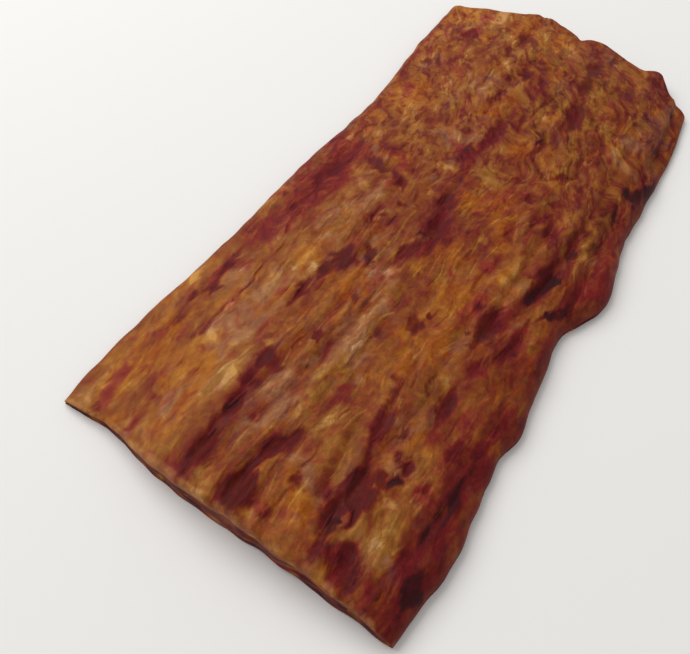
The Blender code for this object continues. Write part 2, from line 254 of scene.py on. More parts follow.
# Broad zones of the top: (x, y, reach along, reach across), then what each adds to the tone and to the
# ruddy, warm, filmy and olive shares, the filmy share partly painted sheen; those left off at a row's end are
# 0
ZONES = [
    (-1, 26.5, 17, 4, -0.1, 1),
    (-22, 27, 14, 3, -0.05, 0.5, 0, 0.4),
    (6, 32.5, 22, 2.6, -0.14, 0.5, 0, 0.5),
    (-40, 18, 20, 4, 0.14, 0, 0.15, 0.45),
    (-62, 18, 10, 5, 0.05, 0.1, 0.5, 0.1),
    (-62, 29, 12, 5, 0.02, 0.25, 0.6),
    (-38, 30, 10, 3, -0.03, 0.5, 0.2),
    (-50, 3, 14, 3.5, -0.05, 0, 0, 0.6),
    (-20, 2, 8, 4, 0.08, 0, 0, 0.6),
    (-35, -3, 10, 3.5, 0.06, 0, 0, 0.5),
    (-24, 7, 8, 3.5, 0.04, 0, 0.4),
    (-8, 17, 10, 4, 0.02, 0, 0, 0.3),
    (26, 11, 14, 5, 0.1, 0, 0.1, 0.25),
    (30, 25, 8, 4, 0.03, 0.1, 0.6),
    (70, 30, 8, 6, 0.05, 0.2, 0.7),
    (69, 20, 8, 4, 0.14, 0, 0.4, 0.2),
    (-25, -13, 22, 4, 0.09, 0, 0.4),
    (5, -6, 8, 3, 0.05, 0.1, 0.5),
    (15, -13, 25, 5, 0.02, 0.15, 0.15),
    (-63, -10, 8, 3, 0.05, 0, 0.2, 0.2),
    (-68, -26, 7, 2.5, 0.06, 0, 0.2, 0.3),
    (0, -24.5, 18, 3, -0.16, 0.3),
    (45, -27, 18, 3.5, -0.08, 0.2, 0, 0.35),
    (52, -17, 12, 4, 0.06, 0, 0.1),
    (-58, -31.5, 22, 2.5, -0.1, 0.6),
    (3, -33, 8, 2.5, 0.03, 0.9),
    (10, 0.5, 24, 2, -0.12, 0.5),
    (52, -10, 16, 2.2, -0.12, 0.3),
    (-68, -1.5, 8, 2.5, -0.1, 0.5),
    (-60, 8.4, 14, 2.2, -0.1, 0.5),
    (-60, -16.5, 14, 2.5, -0.1, 0.4),
    (66, 5, 7, 12, 0.08, 0, 0.5),
    (60, 31, 14, 3, 0.03, 0.3, 0.4),
    (20, 29, 14, 4, -0.04, 0.1, 0.3, 0.1),
    (44, 5, 10, 4, -0.05, 0.2, 0, 0.1),
    (-47, 26.5, 9, 2.6, 0.04, 0, 0.7, 0, 0.1),
    (-31, 5.5, 6, 3, 0.02, 0, 0.8),
    (-24, 8, 4, 2.5, 0.03, 0, 0, 0.1, 0.7),
    (-22, 17, 4, 3.5, 0.06, 0, 0.3, 0, 0.7),
    (-33, 18, 7, 4, 0.08, 0.3, 0.4, 0.2),
    (-43, 18, 7, 4, 0.02, 0.2, 0, 0.7),
    (-55, 19, 4, 5, 0.04, 0, 0.8),
    (-53, 12.5, 6, 2.2, 0.12, 0, 0, 0.1, 0.8),
    (-53, -7, 6, 3, 0.06, 0, 0.1, 0, 0.8),
    (-45, -3, 5, 2.5, 0.04, 0, 0.3, 0, 0.6),
    (-47, -6.5, 4, 2.8, -0.1, 0.9),
    (-33, -12, 10, 3, 0.04, 0, 0.8),
    (-34, -19.5, 5, 1.6, 0.04, 0, 0, 0, 0.8),
    (-38, -23.5, 10, 1.6, -0.12, 0.8),
    (-20, -24, 7, 3, -0.08, 0.7),
    (-21, -13, 8, 4, 0.05, 0, 0.7, 0, 0.1),
    (-9, -16, 8, 3, -0.02, 0.5, 0.3),
    (-13, 8, 7, 4, 0, 0, 0.1, 0.1, 0.5),
    (-12, -7, 9, 3, 0.02, 0, 0.5, 0, 0.3),
    (14, -4, 7, 3, 0.06, 0, 0.2, 0, 0.7),
    (25, -6, 6, 2.6, 0.05, 0, 0.8, 0, 0.1),
    (24, -14, 7, 4.5, 0.02, 0, 0, 0, 0.9),
    (38, -6.5, 8, 3, 0.04, 0, 0.2, 0, 0.8),
    (38, -16, 8, 3.5, 0.02, 0, 0.1, 0, 0.8),
    (53, -14, 7, 3.5, 0.04, 0, 0, 0, 0.9),
    (10, -9, 5, 3, 0, 0.4, 0.5),
    (3, -13, 7, 3.5, -0.01, 0.5, 0.5),
    (15, 9, 5, 3.5, 0.06, 0, 0, 0.2, 0.6),
    (22, 8, 4, 4, 0.05, 0, 0, 0.8, 0.1),
    (36, 4, 5, 3.5, 0.06, 0.1, 0.8),
    (38, 9.5, 7, 4, 0.08, 0, 0.1, 0.6, 0.1),
    (18, 4.5, 4, 3, -0.08, 0.8),
    (9, 16, 3, 5, -0.05, 0.7, 0.3),
    (32, 26, 5, 3.5, 0.04, 0.3, 0.9),
    (44, 23, 6, 3, -0.06, 0.6, 0, 0.1),
    (22, 22, 8, 3.5, 0.02, 0, 0.2, 0.3, 0.3),
    (12, 26, 5, 3.5, 0.04, 0, 0.1, 0.1, 0.6),
    (63, 23, 6, 3, -0.04, 0.5, 0.4),
    (62, 15, 6, 2.5, 0.05, 0, 0.2, 0, 0.6),
    (62, 4, 6, 3, 0.03, 0, 0.3, 0, 0.6),
    (56, -1, 5, 2.5, 0.03, 0, 0.2, 0, 0.7),
    (67, 12, 5, 4, 0.03, 0.1, 0.8, 0, 0.1),
    (70, 28, 5, 3.5, 0.05, 0.3, 0.9),
    (-66, 12, 6, 2.5, 0.08, 0, 0.3, 0, 0.5),
    (-65, 17, 5, 3, 0.02, 0.2, 0, 0.7),
    (-68, -9, 5, 4, 0, 0.4, 0.4),
    (-65, 4.5, 8, 2, 0, 0.2, 0.1, 0, 0.5),
    (-60, -12, 7, 1.8, 0.04, 0, 0.4, 0, 0.4),
    (-64, -25.5, 6, 2, 0.04, 0, 0, 0.2, 0.6),
    (-44, -27, 7, 1.6, -0.05, 0.7),
    (-36, -28.5, 10, 1.8, 0.04, 0.1, 0.3, 0, 0.3),
    (-20, -29.5, 8, 1.6, 0.04, 0.1, 0.4, 0, 0.3),
    (14, -29, 10, 1.8, 0.03, 0, 0.2, 0.2, 0.4),
    (36, -23.5, 12, 2.6, 0, 0.1, 0, 0.4, 0.3),
    (-12, 20, 5, 3, -0.02, 0.5, 0, 0.3),
    (-2, 13, 6, 3, 0.03, 0, 0.1, 0.6, 0.1),
    (-36, 27, 7, 2, 0, 0.1, 0, 0.6, 0.1),
    (-38, 33.5, 5, 1.6, 0.08, 0, 0.6, 0, 0.3),
    (50, -6, 26, 24, 0.02, -0.12, 0, -0.05, 0.22),
    (0, -27, 60, 7, 0.05, -0.18, 0, 0, 0.12),
    (-62, -12, 18, 18, 0.02, -0.1, 0, 0, 0.08),
    (-60, 24, 20, 12, -0.06, 0.14, 0, 0, -0.06),
]

# Marks of colour on the top: (start x, start y, end x, end y, width, strength from 0 to 1)
# Pale marks: cream spots of fat and fibre, and among them painted highlights, such as the dot on the right
# shoulder near x -39, the beige ones on the near ridge at y -6 and the one near x 44 to 51, y 19
PALE_AND_HIGHLIGHT_MARKS = [
    (-70.8, 23, -68.6, 23.7, 2.2, 0.9), (-73, 18.6, -71.6, 21.4, 1.3, 0.6),
    (-70.5, 17.4, -67, 20.5, 1.3, 0.4), (-54.6, 12.6, -51.4, 13.4, 1.6, 1),
    (-59, 12.2, -55, 12.4, 1.6, 0.45), (-49.6, 21.3, -46, 22.2, 2.2, 0.5),
    (-45.8, 22, -45.2, 22, 1, 0.8), (-41.6, 22.6, -40.4, 22.8, 1, 0.6), (-45, 12, -43, 9, 1.2, 0.7),
    (-55.7, 6.7, -55.3, 7.2, 0.9, 0.8), (-42, 6, -41.4, 6, 0.8, 0.6),
    (-39.5, 33.2, -35.4, 34, 2.4, 0.8), (-27, 14.2, -22.8, 13.6, 2.6, 0.8),
    (-22.8, 13.2, -21.4, 11.9, 1.3, 1), (-19, 20.6, -17, 20.6, 2, 0.6),
    (-27, 17.4, -26.3, 17.4, 0.9, 0.8), (-21, -0.6, -18, 0.6, 2.2, 0.7), (-38, -1, -35, -3, 2.4, 0.25),
    (-12, 16, -6, 18, 3.4, 0.35), (0.5, 14.2, 1.8, 15.4, 1.3, 1), (3.2, 3.7, 4.8, 4.6, 1.6, 0.9),
    (-1.6, 17.5, 0.5, 18.6, 2, 0.6), (12, 4.6, 14, 6.8, 2.4, 0.6), (11, 28.6, 13.4, 29.8, 1.8, 0.7),
    (14, 24, 17, 24.4, 1.8, 0.8), (21, 21, 25, 22.3, 1.8, 0.6), (27.2, 21.8, 27.6, 22.4, 0.9, 1),
    (-3.4, -10.7, -1.5, -10.5, 1.2, 0.8), (7.5, -11, 8.5, -10.6, 1.4, 0.6),
    (28, -19.4, 30, -19.1, 1.2, 0.8), (26.5, -21.8, 30, -22.2, 1.6, 0.5),
    (-73.6, -6, -71.4, -5.6, 1.7, 0.9), (-54.6, -6.3, -50.5, -7.4, 2.3, 0.7),
    (-54, -2.1, -53, -3, 1.8, 0.6), (-46.5, -1.6, -41, -4, 1.6, 0.3),
    (-66.6, -18.8, -64.4, -18.4, 1.1, 1), (-67.2, -24.9, -65.8, -24.7, 1.2, 1),
    (-72, -25.6, -63, -27, 3, 0.6), (-60, -22.3, -57, -22.7, 1.8, 0.8),
    (-71, -11.5, -69, -13, 2.2, 0.6), (-56.8, -28.4, -55, -28.2, 0.9, 0.8),
    (-52, -23.2, -48, -24, 1.8, 0.5), (-36.5, -18.9, -33, -20, 1.8, 0.5),
    (-24, -27.6, -15, -29, 1.6, 0.7), (-22, -23.3, -14, -24.4, 1.7, 0.6),
    (5, -24.2, 13, -22.8, 1.8, 0.6), (4, -28.8, 14, -28, 1.5, 0.7), (13, -26.8, 15.5, -26.6, 1.4, 0.7),
    (36, 17.6, 39, 18.8, 1.6, 1), (33.4, 18, 34.8, 18.6, 1.4, 0.7), (39.2, 20.8, 40, 20.8, 0.8, 0.9),
    (44, 18.8, 51, 20, 1.8, 0.5), (47, 8.2, 52, 9.2, 2, 0.6), (35, 8, 45, 10.5, 4, 0.35),
    (59, 13.2, 64, 14.4, 2, 0.6), (66, 19, 75, 21.5, 3.8, 0.9), (63.5, 22.4, 72, 24.5, 3, 0.5),
    (66.5, -18.9, 73, -17.6, 1.3, 1), (61, -1.2, 68, -0.4, 2.4, 0.5), (48.8, -3.6, 49.8, -3.2, 1, 0.7),
    (-39.6, -31.2, -39, -31.4, 0.8, 0.8),
]
DARK_MARKS = [
    (-51, 6.8, -45, 6.2, 3.2, 0.5), (-39.4, -11.6, -38, -13.6, 1.8, 0.4),
    (-70, 29.6, -69, 31.4, 2.6, 0.4), (-56, 31, -52, 31, 1.6, 0.4), (-22, 8.4, -18.6, 6, 3.4, 0.5),
    (17.6, 7.3, 20, 8, 2.4, 0.5), (7, 20, 7.4, 17.4, 2.2, 0.5), (60, 28.4, 63, 32, 3, 0.5),
    (43, 22, 47, 25.6, 3, 0.4), (38, -19.2, 39, -20.2, 2, 0.5), (9, -33.6, 22, -33.6, 1.4, 0.6),
    (59.6, 8.4, 63, 9.6, 2.4, 0.4), (54, 21.6, 61, 23.2, 3.4, 0.4), (-28.6, -10.6, -26, -8.9, 1.8, 0.6),
    (-25.4, -11.2, -23.4, -11.6, 1, 0.6), (-39.6, 3.2, -36.6, 4.4, 1.6, 0.45),
    (-28.2, 2.5, -26.8, 3.2, 1.4, 0.35),
]
CHAR_MARKS = [
    (-9.4, 0.1, -7, 0.6, 1.4, 0.6), (-27.8, -9.8, -27, -9.3, 1, 0.5),
    (-72, -32.8, -66, -32.6, 2.4, 0.9), (-57, -31.5, -47, -30.4, 1.4, 0.8),
    (-56.4, -21.4, -54.6, -21.8, 1.6, 1), (-67.6, -17, -65.6, -16.8, 1.6, 0.7),
    (-12, -24.4, -3, -25.4, 1.8, 0.8), (-4, -26.2, -1, -26.8, 2, 0.9),
    (-12.4, -28.6, -10, -29.6, 1.4, 0.7), (-8.6, -30.8, -7, -30.8, 1.8, 0.9),
    (-21.4, 10.6, -19.8, 11, 1.2, 0.6), (26, -31, 31, -32, 3.4, 0.8), (30, -33.6, 36, -33.4, 2.2, 0.8),
    (28, -8.8, 30.4, -9, 1, 0.9), (-24.4, -18.8, -23.2, -19.2, 1.2, 0.6),
    (-59.6, 8.2, -56, 8.6, 1, 0.6), (3, -26.8, 6, -26.6, 1.5, 0.5), (47.4, 2.6, 49.4, 4, 2, 0.5),
    (-12, 30.9, -9, 31, 0.8, 0.5), (27.2, 23.6, 27.9, 23.5, 0.8, 0.8),
]
RED_MARKS = [
    (-64, 31, -61, 31.6, 3.4, 0.6), (-64, 28.6, -60.5, 28.2, 2.6, 0.3), (-12, 27, 8, 27, 9, 0.8),
    (-6, 23, 5, 23, 5, 0.7), (-15, 26, -11, 25, 4, 0.5), (-22, 27.5, -15, 27, 4, 0.35),
    (-42, 30.4, -36, 30.6, 2, 0.6), (-51.6, -3.6, -50.4, -3.8, 1.8, 0.8), (-48, -6, -47, -9, 2, 0.8),
    (-75, -22, -66.5, -23, 5, 0.8), (-57, -26.4, -53, -27.4, 3, 0.8),
    (-31, -23.4, -27, -24.8, 2.2, 0.7), (-22, -25.6, -15, -26.8, 3, 0.8),
    (-22, -19.8, -15, -21.8, 3.6, 0.7), (-9, -16.4, -3, -17.4, 2.4, 0.7),
    (-10, -2.4, 2, -1.6, 3.6, 0.5), (-2, -33, 5, -35, 4, 0.8), (11.4, -12.8, 14, -14, 2.4, 0.6),
    (20, 1.2, 33, 0.8, 2.6, 0.6), (15.2, 3.2, 19, 1.6, 2.6, 0.6), (20.5, -22.4, 22, -22.6, 2.4, 0.6),
    (30.5, -22, 33, -22.4, 2.4, 0.6), (31, -16.2, 33, -17, 2, 0.5), (57, 17.6, 61, 18, 1.8, 0.6),
    (55, 22.4, 61, 23.2, 3, 0.4), (38, 31.5, 60, 33.6, 1.6, 0.6), (0.5, -14.3, 4.5, -14.4, 0.9, 0.6),
    (-8, -10.4, -4, -11.4, 2, 0.4),
]
# Orange marks; the two along the right rim from x 38 to 61 paint light on the lit side of the low ledge there
ORANGE_AND_LIT_LEDGE_MARKS = [
    (-40.6, 33, -38.4, 33, 2.2, 0.7), (-24, 17, -21.5, 19, 3, 0.6), (-57, 18, -53, 22, 3.5, 0.5),
    (3.6, -3.6, 8, -5.4, 3.4, 0.7), (-9, -18.4, -3, -18.4, 2.2, 0.8), (-4.6, -29, -3, -32, 3, 0.7),
    (8, 13.4, 11, 16, 3, 0.7), (30.5, 24.5, 33.5, 29, 4.5, 0.7), (34.6, 22.4, 36, 23.6, 2, 0.5),
    (34, 2.4, 39, 4, 3, 0.5), (37, -22.4, 38.4, -22.8, 2, 0.7), (67, 31.8, 74, 33.4, 3, 0.8),
    (55, 18.6, 61, 20, 2.4, 0.6), (52, -31.6, 61, -31.2, 1.4, 0.9), (38, -32.8, 52, -32.6, 0.9, 0.8),
    (-43, -31.4, -38, -32, 1.8, 0.6), (-68, 27, -45, 33, 9, 0.3),
]
# Greyish mauve marks: partly the meat's own greyish film, partly painted sheen
MAUVE_AND_SHEEN_MARKS = [
    (-62.5, 20.5, -55, 16.5, 5, 0.6), (-60, 24.6, -59, 24.6, 1.2, 0.8),
    (-71.7, 22.7, -70.6, 21.5, 1.2, 0.9), (-44, 17, -30, 19, 6.5, 0.5), (-50, 22, -44, 22.6, 2.4, 0.5),
    (-60, 2, -57, 2.4, 3, 0.9), (-57, 2.6, -47, 1.6, 4.4, 0.8), (-44, 2, -43, 0.8, 2.2, 0.6),
    (-37.5, 26.2, -32, 26.4, 2.4, 0.6), (-24, 26.8, -20, 27.2, 1.8, 0.9), (-22, 29, -16, 27, 3, 0.5),
    (-41, -1, -30, -2.4, 3.8, 0.6), (-34, -3.6, -31.4, -6.6, 3, 0.7),
    (-30.5, -10.8, -25.2, -8.8, 1.6, 0.8), (-49, -15.8, -44, -17.6, 2.4, 0.7),
    (-43.4, -6.6, -42.4, -8, 2, 0.6), (-22.5, 4, -19.5, 1.5, 3, 0.5), (-28.5, 2, -26.5, 3.6, 2.4, 0.7),
    (-22, 8.4, -18, 6.6, 3, 0.6), (7.4, 7, 9, 3, 2.4, 0.8), (8.4, 22, 12, 21, 2.4, 0.7),
    (7.4, 20, 8.4, 17, 2.6, 0.5), (-8, 34, -4, 33, 2.6, 0.8), (5, 33, 19, 32, 2.6, 0.6),
    (-13.4, -17.4, -12, -17.6, 2, 0.7), (-25, -7.6, -24, -7.4, 1.6, 0.6), (21.6, 8, 22.6, 7.4, 2, 0.6),
    (34, -28, 62, -27, 6, 0.25), (40, 26.4, 46, 26.6, 2.6, 0.6), (18, 21, 19.5, 20.6, 1.4, 0.6),
    (30, -12, 33, -11, 2.6, 0.7), (65, -11.6, 69, -12, 2.2, 0.7),
]
MARK_WAVER = 1.4  # how far noise moves the marks' outlines
MARK_WAVER_SIZE = 3.6
MARK_SPREAD = 1.35
MARK_FLATNESS = 1.4  # above 1 a mark keeps its full strength over most of its width

# The grain's course: it turns to the left in the far half
SLANT_START = 6.0
SLANT_RUN = 34.0
SLANT = 0.38
GRAIN_SWIRL = 2.6
GRAIN_SWIRL_LENGTH = 26.0
GRAIN_SWIRL_WIDTH = 15.0
GRAIN_WAVE = 1.6  # how far shorter waves carry it in the far half
NEAR_WAVE = 0.5  # share of that in the near half
GRAIN_WAVE_SIZE = (7.0, 4.5)

# Fine relief on the top
STRAND_LENGTH = 17.0
STRAND_MEAN = 0.5
STRAND_RIDGE = 1.6
FINER = 0.5  # size of the second, finer layer of strands, as a share of the first
FINER_HEIGHT = 0.7
CURL_LENGTH = 5.4
CURL_WIDTH = 2.6
CURL_MEAN = 0.4
CURL_RIDGE = 1.5
CURL_TWIST = 2.4  # how far the curls' own swirls carry them
CURL_TWIST_SIZE = 5.0
CURL_START = -8.0
CURL_RUN = 30.0
PATCH_LENGTH = 21.0  # the fine relief comes and goes over patches of this size
PATCH_WIDTH = 8.0
PATCH_MEAN = 0.75
PATCH_CHANGE = 0.9

# Underside
HOLLOW_WIDTH = 8.0
HOLLOW_LENGTH = 40.0
HOLLOW_DEPTH = 1.6
HOLLOW_START = 0.12
HOLLOW_MARGIN = 8.0
EDGE_LIFT = 0.9
EDGE_LIFT_REACH = 2.5
CUT_ARCHES = [(-12, 4.0, 1.6), (-29, 4.0, 1.0)]
ARCH_REACH = 9.0
CUT_LIFT = 0.3

# Small nicks in the rims, all cut inwards, which the solid leaves out
NICK_DEPTH = 0.35
NICK_LENGTH = 4.2
NICK_REACH = 2.2
NICK_SPACING = 3 * NICK_REACH
NICK_MEAN = 0.5

# Walls of the rims, with layers and spots of these sizes along and up
WALL_SINK = 0.35  # how far they are hollowed between their edges
WALL_SINK_MEAN = 0.6
LAYERS_SIZE = (4.0, 1.1)
SPOTS_SIZE = (3.4, 2.2)
# Walls other than the cut get a darker tone: painted shade, as on the right side's wall, which lies in the
# slab's own shadow
UNCUT_WALLS_TONE_AND_SHADE = 0.2
CUT_TONE = 0.27
LAYER_TONE = 0.75
# Painted highlight at the top of the cut's wall, where the lip rounds over
CUT_EDGE_HIGHLIGHT = 0.2  # the cut's upper edge is paler
CUT_EDGE_HIGHLIGHT_START = 0.6
CUT_EDGE_HIGHLIGHT_RUN = 0.4
# More of the hollows' dark colour on walls other than the cut: painted shade
UNCUT_WALLS_SHADE_HOLLOW = 0.35
CUT_HOLLOW = 0.1
SPOT_HOLLOW = 1.4
SPOT_CHAR = 1.8
SPOT_CHAR_START = 0.4

# Share of the creases' and the grooves' depth that is cut into the surface here
CREASE_CUT = 0.5
GROOVE_CUT = 0.6

# Tone, from 0 at the darkest to 1 at the palest: what each feature adds
PLAIN_TONE = 0.50
BUNDLE_TONE = 0.14
# The right shoulder is darker: partly the meat's own colour, partly painted shade where the top slopes away
# from the key light
SHOULDER_COLOUR_AND_SHADE = -0.22
# Painted light: the left side, which slopes towards the key light, is made paler
LEFT_PAINTED_LIGHT = 0.08
BLOTCH_TONE = 0.16
STREAK_TONE = 0.15
SHOULDER_START = -25.0
SHOULDER_RUN = 6.0
SHOULDER_LOSS = 0.5  # share of the shoulder's effect that is gone in the far half
SHOULDER_LOSS_START = 10.0
SHOULDER_LOSS_RUN = 30.0
SHOULDER_RUDDY = 0.3
LEFT_PAINTED_LIGHT_START = 10.0
LEFT_PAINTED_LIGHT_RUN = 20.0
# A painted highlight along the lip of the cut, this wide, broken up by noise of these sizes
LIP_WIDTH = 1.1
LIP_SIZE = (5.0, 2.6)
LIP_MEAN = 0.6
LIP_CHANGE = 1.9
BLOTCH_SIZE = (15.0, 6.0)
STREAK_SIZE = (9.0, 1.5)
STREAK_CALM = 0.5  # share of the streaks' tone that curls hide, and smooth skin hides

# A thin smooth skin on the left of the near half
SKIN_START = 4.0
SKIN_RISE = 14.0
SKIN_END = -42.0
SKIN_FALL = 34.0
SKIN_CALM = 0.4  # share of the fine relief that it hides

# The underside's finish, from the same blotches and from longer streaks
UNDER_STREAK_SIZE = (26.0, 4.0)
UNDER_TONE = 0.43
UNDER_BLOTCH_TONE = 0.22
UNDER_STREAK_TONE = 0.12

# Hollows in the finish: a millimetre of a groove's or a crease's depth counts as a full one
STAIN_SPREAD = 1.5  # the finish's hollows are this much wider than the grooves
DARK_HOLLOW = 0.7
RED_LIFT = 0.4  # how much lighter a hollow is where its meat is bright red

# Layers of the noise, one for each use
BUNDLE_LAYER = 1.0
WANDER_LAYER = 5.0
LUMP_LAYER = 9.0
SIDE_LAYER = 12.0
HOLLOW_LAYER = 20.0
COURSE_LAYER = 30.0
FLOOR_LAYER = 40.0
SWIRL_LAYER = 50.0
STRAND_LAYER = 55.0
CURL_LAYER = 60.0
TWIST_LAYER = 65.0
MARK_LAYER = 70.0
BLOTCH_LAYER = 75.0
LIP_LAYER = 80.0
WALL_LAYER = 85.0
PATCH_LAYER = 90.0
STREAK_LAYER = 95.0
WAVE_LAYER = 100.0
FRAY_LAYER = 105.0
NICK_LAYER = 110.0

# Loose fibres
LEAST_FACING_UP = 0.7
SKIN_THINNING = 0.7  # share of the fibres that the smooth skin covers
CURL_SHORTENING = 0.5
FIBRE_LENGTHS = (0.5, 1.4)  # shortest and longest, as shares of the usual length
FIBRE_TONES = (-0.1, 0.18)  # what a fibre adds to the tone under it, at least and at most
FIBRE_POINTS = 8
LEAST_FIBRE_POINTS = 5
FIBRE_SIDES = 7
FIBRE_TIP = 0.1  # radius at the ends, as a share of the width
FIBRE_SWELL = 0.4  # what the middle has more than the ends
FIBRE_LIFT = -0.5  # height of a fibre's middle over the surface
FIBRE_SINK = 0.3  # how much lower its ends lie
FIBRE_ROOM = 0.3  # fibres keep this far under the solid's highest point
FIBRE_BEND = 2.4
BEND_SIZE = 6.0
RAY_START = 50.0
RAY_LENGTH = 100.0
FIBRE_SEED = 11
TONE_SEED = 7
FIBRE_ATTRIBUTES = ("grain", "tone", "hollow", "pale", "lip", "charred")
FIBRE_ATTRIBUTES += ("ruddy", "warm", "filmy", "olive", "curled", "smooth")

# The finish's noise: sizes along the grain, across it and upwards, then detail, roughness and distortion
MARBLING = ((3.6, 2.2, 3.0), 3.2, 0.56, 0.4)
FIBRE_GRAIN = ((2.4, 0.65, 0.8), 3.0, 0.6, 0.5)  # about half a millimetre wide, the finest that still shows
SKIN_GRAIN = ((1.0 * MM, 1.0 * MM, 1.0 * MM), 4.0, 0.65, 0.3)  # on Blender's own coordinates, in metres
CURLY_LINES = ((9.0, 6.0, 4.0), 2.2, 0.5, 0.7)
KNOTS = ((2.8, 2.2, 2.5), 4.0, 0.6, 0.8)
HOLLOW_EDGE = ((4.2, 2.0, 2.2), 3.4, 0.56, 0.6)
PATCH_EDGE = (2.0, 0.55, 0.5)

# The finish's level, from 0 at the darkest to 1 at the palest: what each feature adds
MARBLING_LEVEL = 0.8
LINE_LEVEL = -0.16
KNOT_LEVEL = -0.2
# Pale marks, which include painted highlights
PALE_AND_HIGHLIGHT_LEVEL = 0.24
# The cut's lip: painted highlight
LIP_HIGHLIGHT_LEVEL = 0.22
CHARRED_LEVEL = 0.02  # the level itself, where the meat is charred
PATCH_REACH = 4.0  # how far its edge's noise changes a patch's outline
PATCH_COVER = 0.92
# Share of the painted highlight's own colour on the cut's lip
LIP_HIGHLIGHT_COVER = 0.45
CHAR_COVER = 0.3

# What the stage's light makes of a surface's colour: it shows this share of it and adds a thin veil of shine
LIGHT_SHARE = 0.745
SHINE_VEIL = 0.007

# Patches of colour, each laid over those before it: the sizes of the noise at its edges, and the colours that
# it shows in the stage's light at these levels
PATCH_LEVELS = (0.0, 0.18, 0.34, 0.5, 0.7, 0.9)
PATCHES = {
    "olive": ((5.8, 4.0, 2.5), ("#361A18", "#572818", "#6B3C1C", "#7E4E22", "#92642E", "#B48A56")),
    # Greyish mauve patches, partly painted sheen
    "filmy": ((6.4, 4.4, 2.7), ("#3C1A20", "#5A2A2A", "#6D3C2F", "#805138", "#966645", "#B88C68")),
    "warm": ((6.8, 4.4, 2.9), ("#3F1817", "#662816", "#7E3A18", "#8E4C1C", "#A06426", "#BA8442")),
    "ruddy": ((5.8, 3.0, 3.1), ("#3A1718", "#5B1B1E", "#692021", "#782A23", "#8A3D2E", "#A35A42")),
}

# Stage: directions are an azimuth and an elevation in degrees, from the slab back to the light or the camera
KEY_SIZE = (0.7, 0.5)  # metres
KEY_DISTANCE = 0.7  # metres
KEY_DIRECTION = (165, 52)
CAMERA_PLACE = (-104.7, -43.8, 126.2)
CAMERA_DIRECTION = (-57.55, 55)
CAMERA_CLIP = 10.0

# Mesh
CELL_ALONG = 0.5
CELL_ACROSS = 0.34
RIM_CELL = 0.22
RIM_GROWTH = 1.22
WALL_ROWS = 12
ON_RIM = 1e-6  # a share of a side this small is at its start
COURSE_STEP = 0.05


def linear(hex_colour):
    """The linear colour of an sRGB hex value."""
    channels = [int(hex_colour[n : n + 2], 16) / 255 for n in (1, 3, 5)]
    return [c / 12.92 if c <= 0.04045 else ((c + 0.055) / 1.055) ** 2.4 for c in channels]


def surface_colour(hex_colour):
    """The linear colour of a surface that shows as an sRGB hex value in the stage's light."""
    return [max(0.0, shown - SHINE_VEIL) / LIGHT_SHARE for shown in linear(hex_colour)]


def add(tree, kind, links=(), stops=(), output=0, **settings):
    """Adds a node with its settings, its inputs' values or links, and a colour ramp's stops.

    It returns the output that is asked for, or all of them for None.
    """
    node = tree.nodes.new(kind)
    for name, value in settings.items():
        setattr(node, name, value)
    for socket, value in links:
        if isinstance(value, bpy.types.NodeSocket):
            tree.links.new(value, node.inputs[socket])
        else:
            node.inputs[socket].default_value = value
    for n, (place, colour) in enumerate(stops):
        elements = node.color_ramp.elements
        element = elements[n] if n < len(elements) else elements.new(place)
        element.position = place
        element.color = (*colour, 1.0)
    return node.outputs if output is None else node.outputs[output]


def swell(place, swellings):
    """How far a row of swellings moves an edge at this place."""
    return sum(height * np.exp(-(((place - centre) / reach) ** 2)) for centre, reach, height in swellings)


def right_side(x):
    return RIGHT_SIDE_Y + swell(x, RIGHT_SWELLINGS)


def left_side(x):
    return LEFT_SIDE_Y + swell(x, LEFT_SWELLINGS)


def cut_end(y):
    return CUT_END_X + swell(y, CUT_SWELLINGS)


def torn_end(y):
    cut_back = TORN_CORNER_SLOPE * np.maximum(0.0, TORN_CORNER_Y - y)
    return TORN_END_X - cut_back + swell(y, TORN_SWELLINGS)


def between(start, end, share):
    return start * (1 - share) + end * share


def plan(u, v):
    """The plan position of a point u of the way to the torn end and v of the way to the left side."""
    x_right = between(cut_end(RIGHT_SIDE_Y), torn_end(RIGHT_SIDE_Y), u)
    x_left = between(cut_end(LEFT_SIDE_Y), torn_end(LEFT_SIDE_Y), u)
    y = between(right_side(x_right), left_side(x_left), v)
    return between(cut_end(y), torn_end(y), u), y


def stretched_noise(x, y, length, width, layer):
    """Smooth noise from -1 to 1, drawn out along the grain, at each point of two arrays."""
    places = zip(np.ravel(x / length), np.ravel(y / width))
    return np.reshape([noise.noise(Vector((along, across, layer))) for along, across in places], x.shape)


def nicked(x, y, u, v):
    """The plan position moved inwards near the rims by small nicks."""
    deep_x = NICK_DEPTH * (NICK_MEAN + stretched_noise(y, x, NICK_LENGTH, NICK_SPACING, NICK_LAYER))
    deep_y = NICK_DEPTH * (NICK_MEAN + stretched_noise(x, y, NICK_LENGTH, NICK_SPACING, -NICK_LAYER))

    def near(distance):
        return np.exp(-((distance / NICK_REACH) ** 2))

    inward_x = near(u * LENGTH) - near((1 - u) * LENGTH)
    inward_y = near(v * WIDTH) - near((1 - v) * WIDTH)
    return x + np.maximum(0, deep_x) * inward_x, y + np.maximum(0, deep_y) * inward_y


def fade(share):
    """Rises smoothly from 0 to 1 as share does."""
    share = np.clip(share, 0.0, 1.0)
    return share * share * (3 - 2 * share)


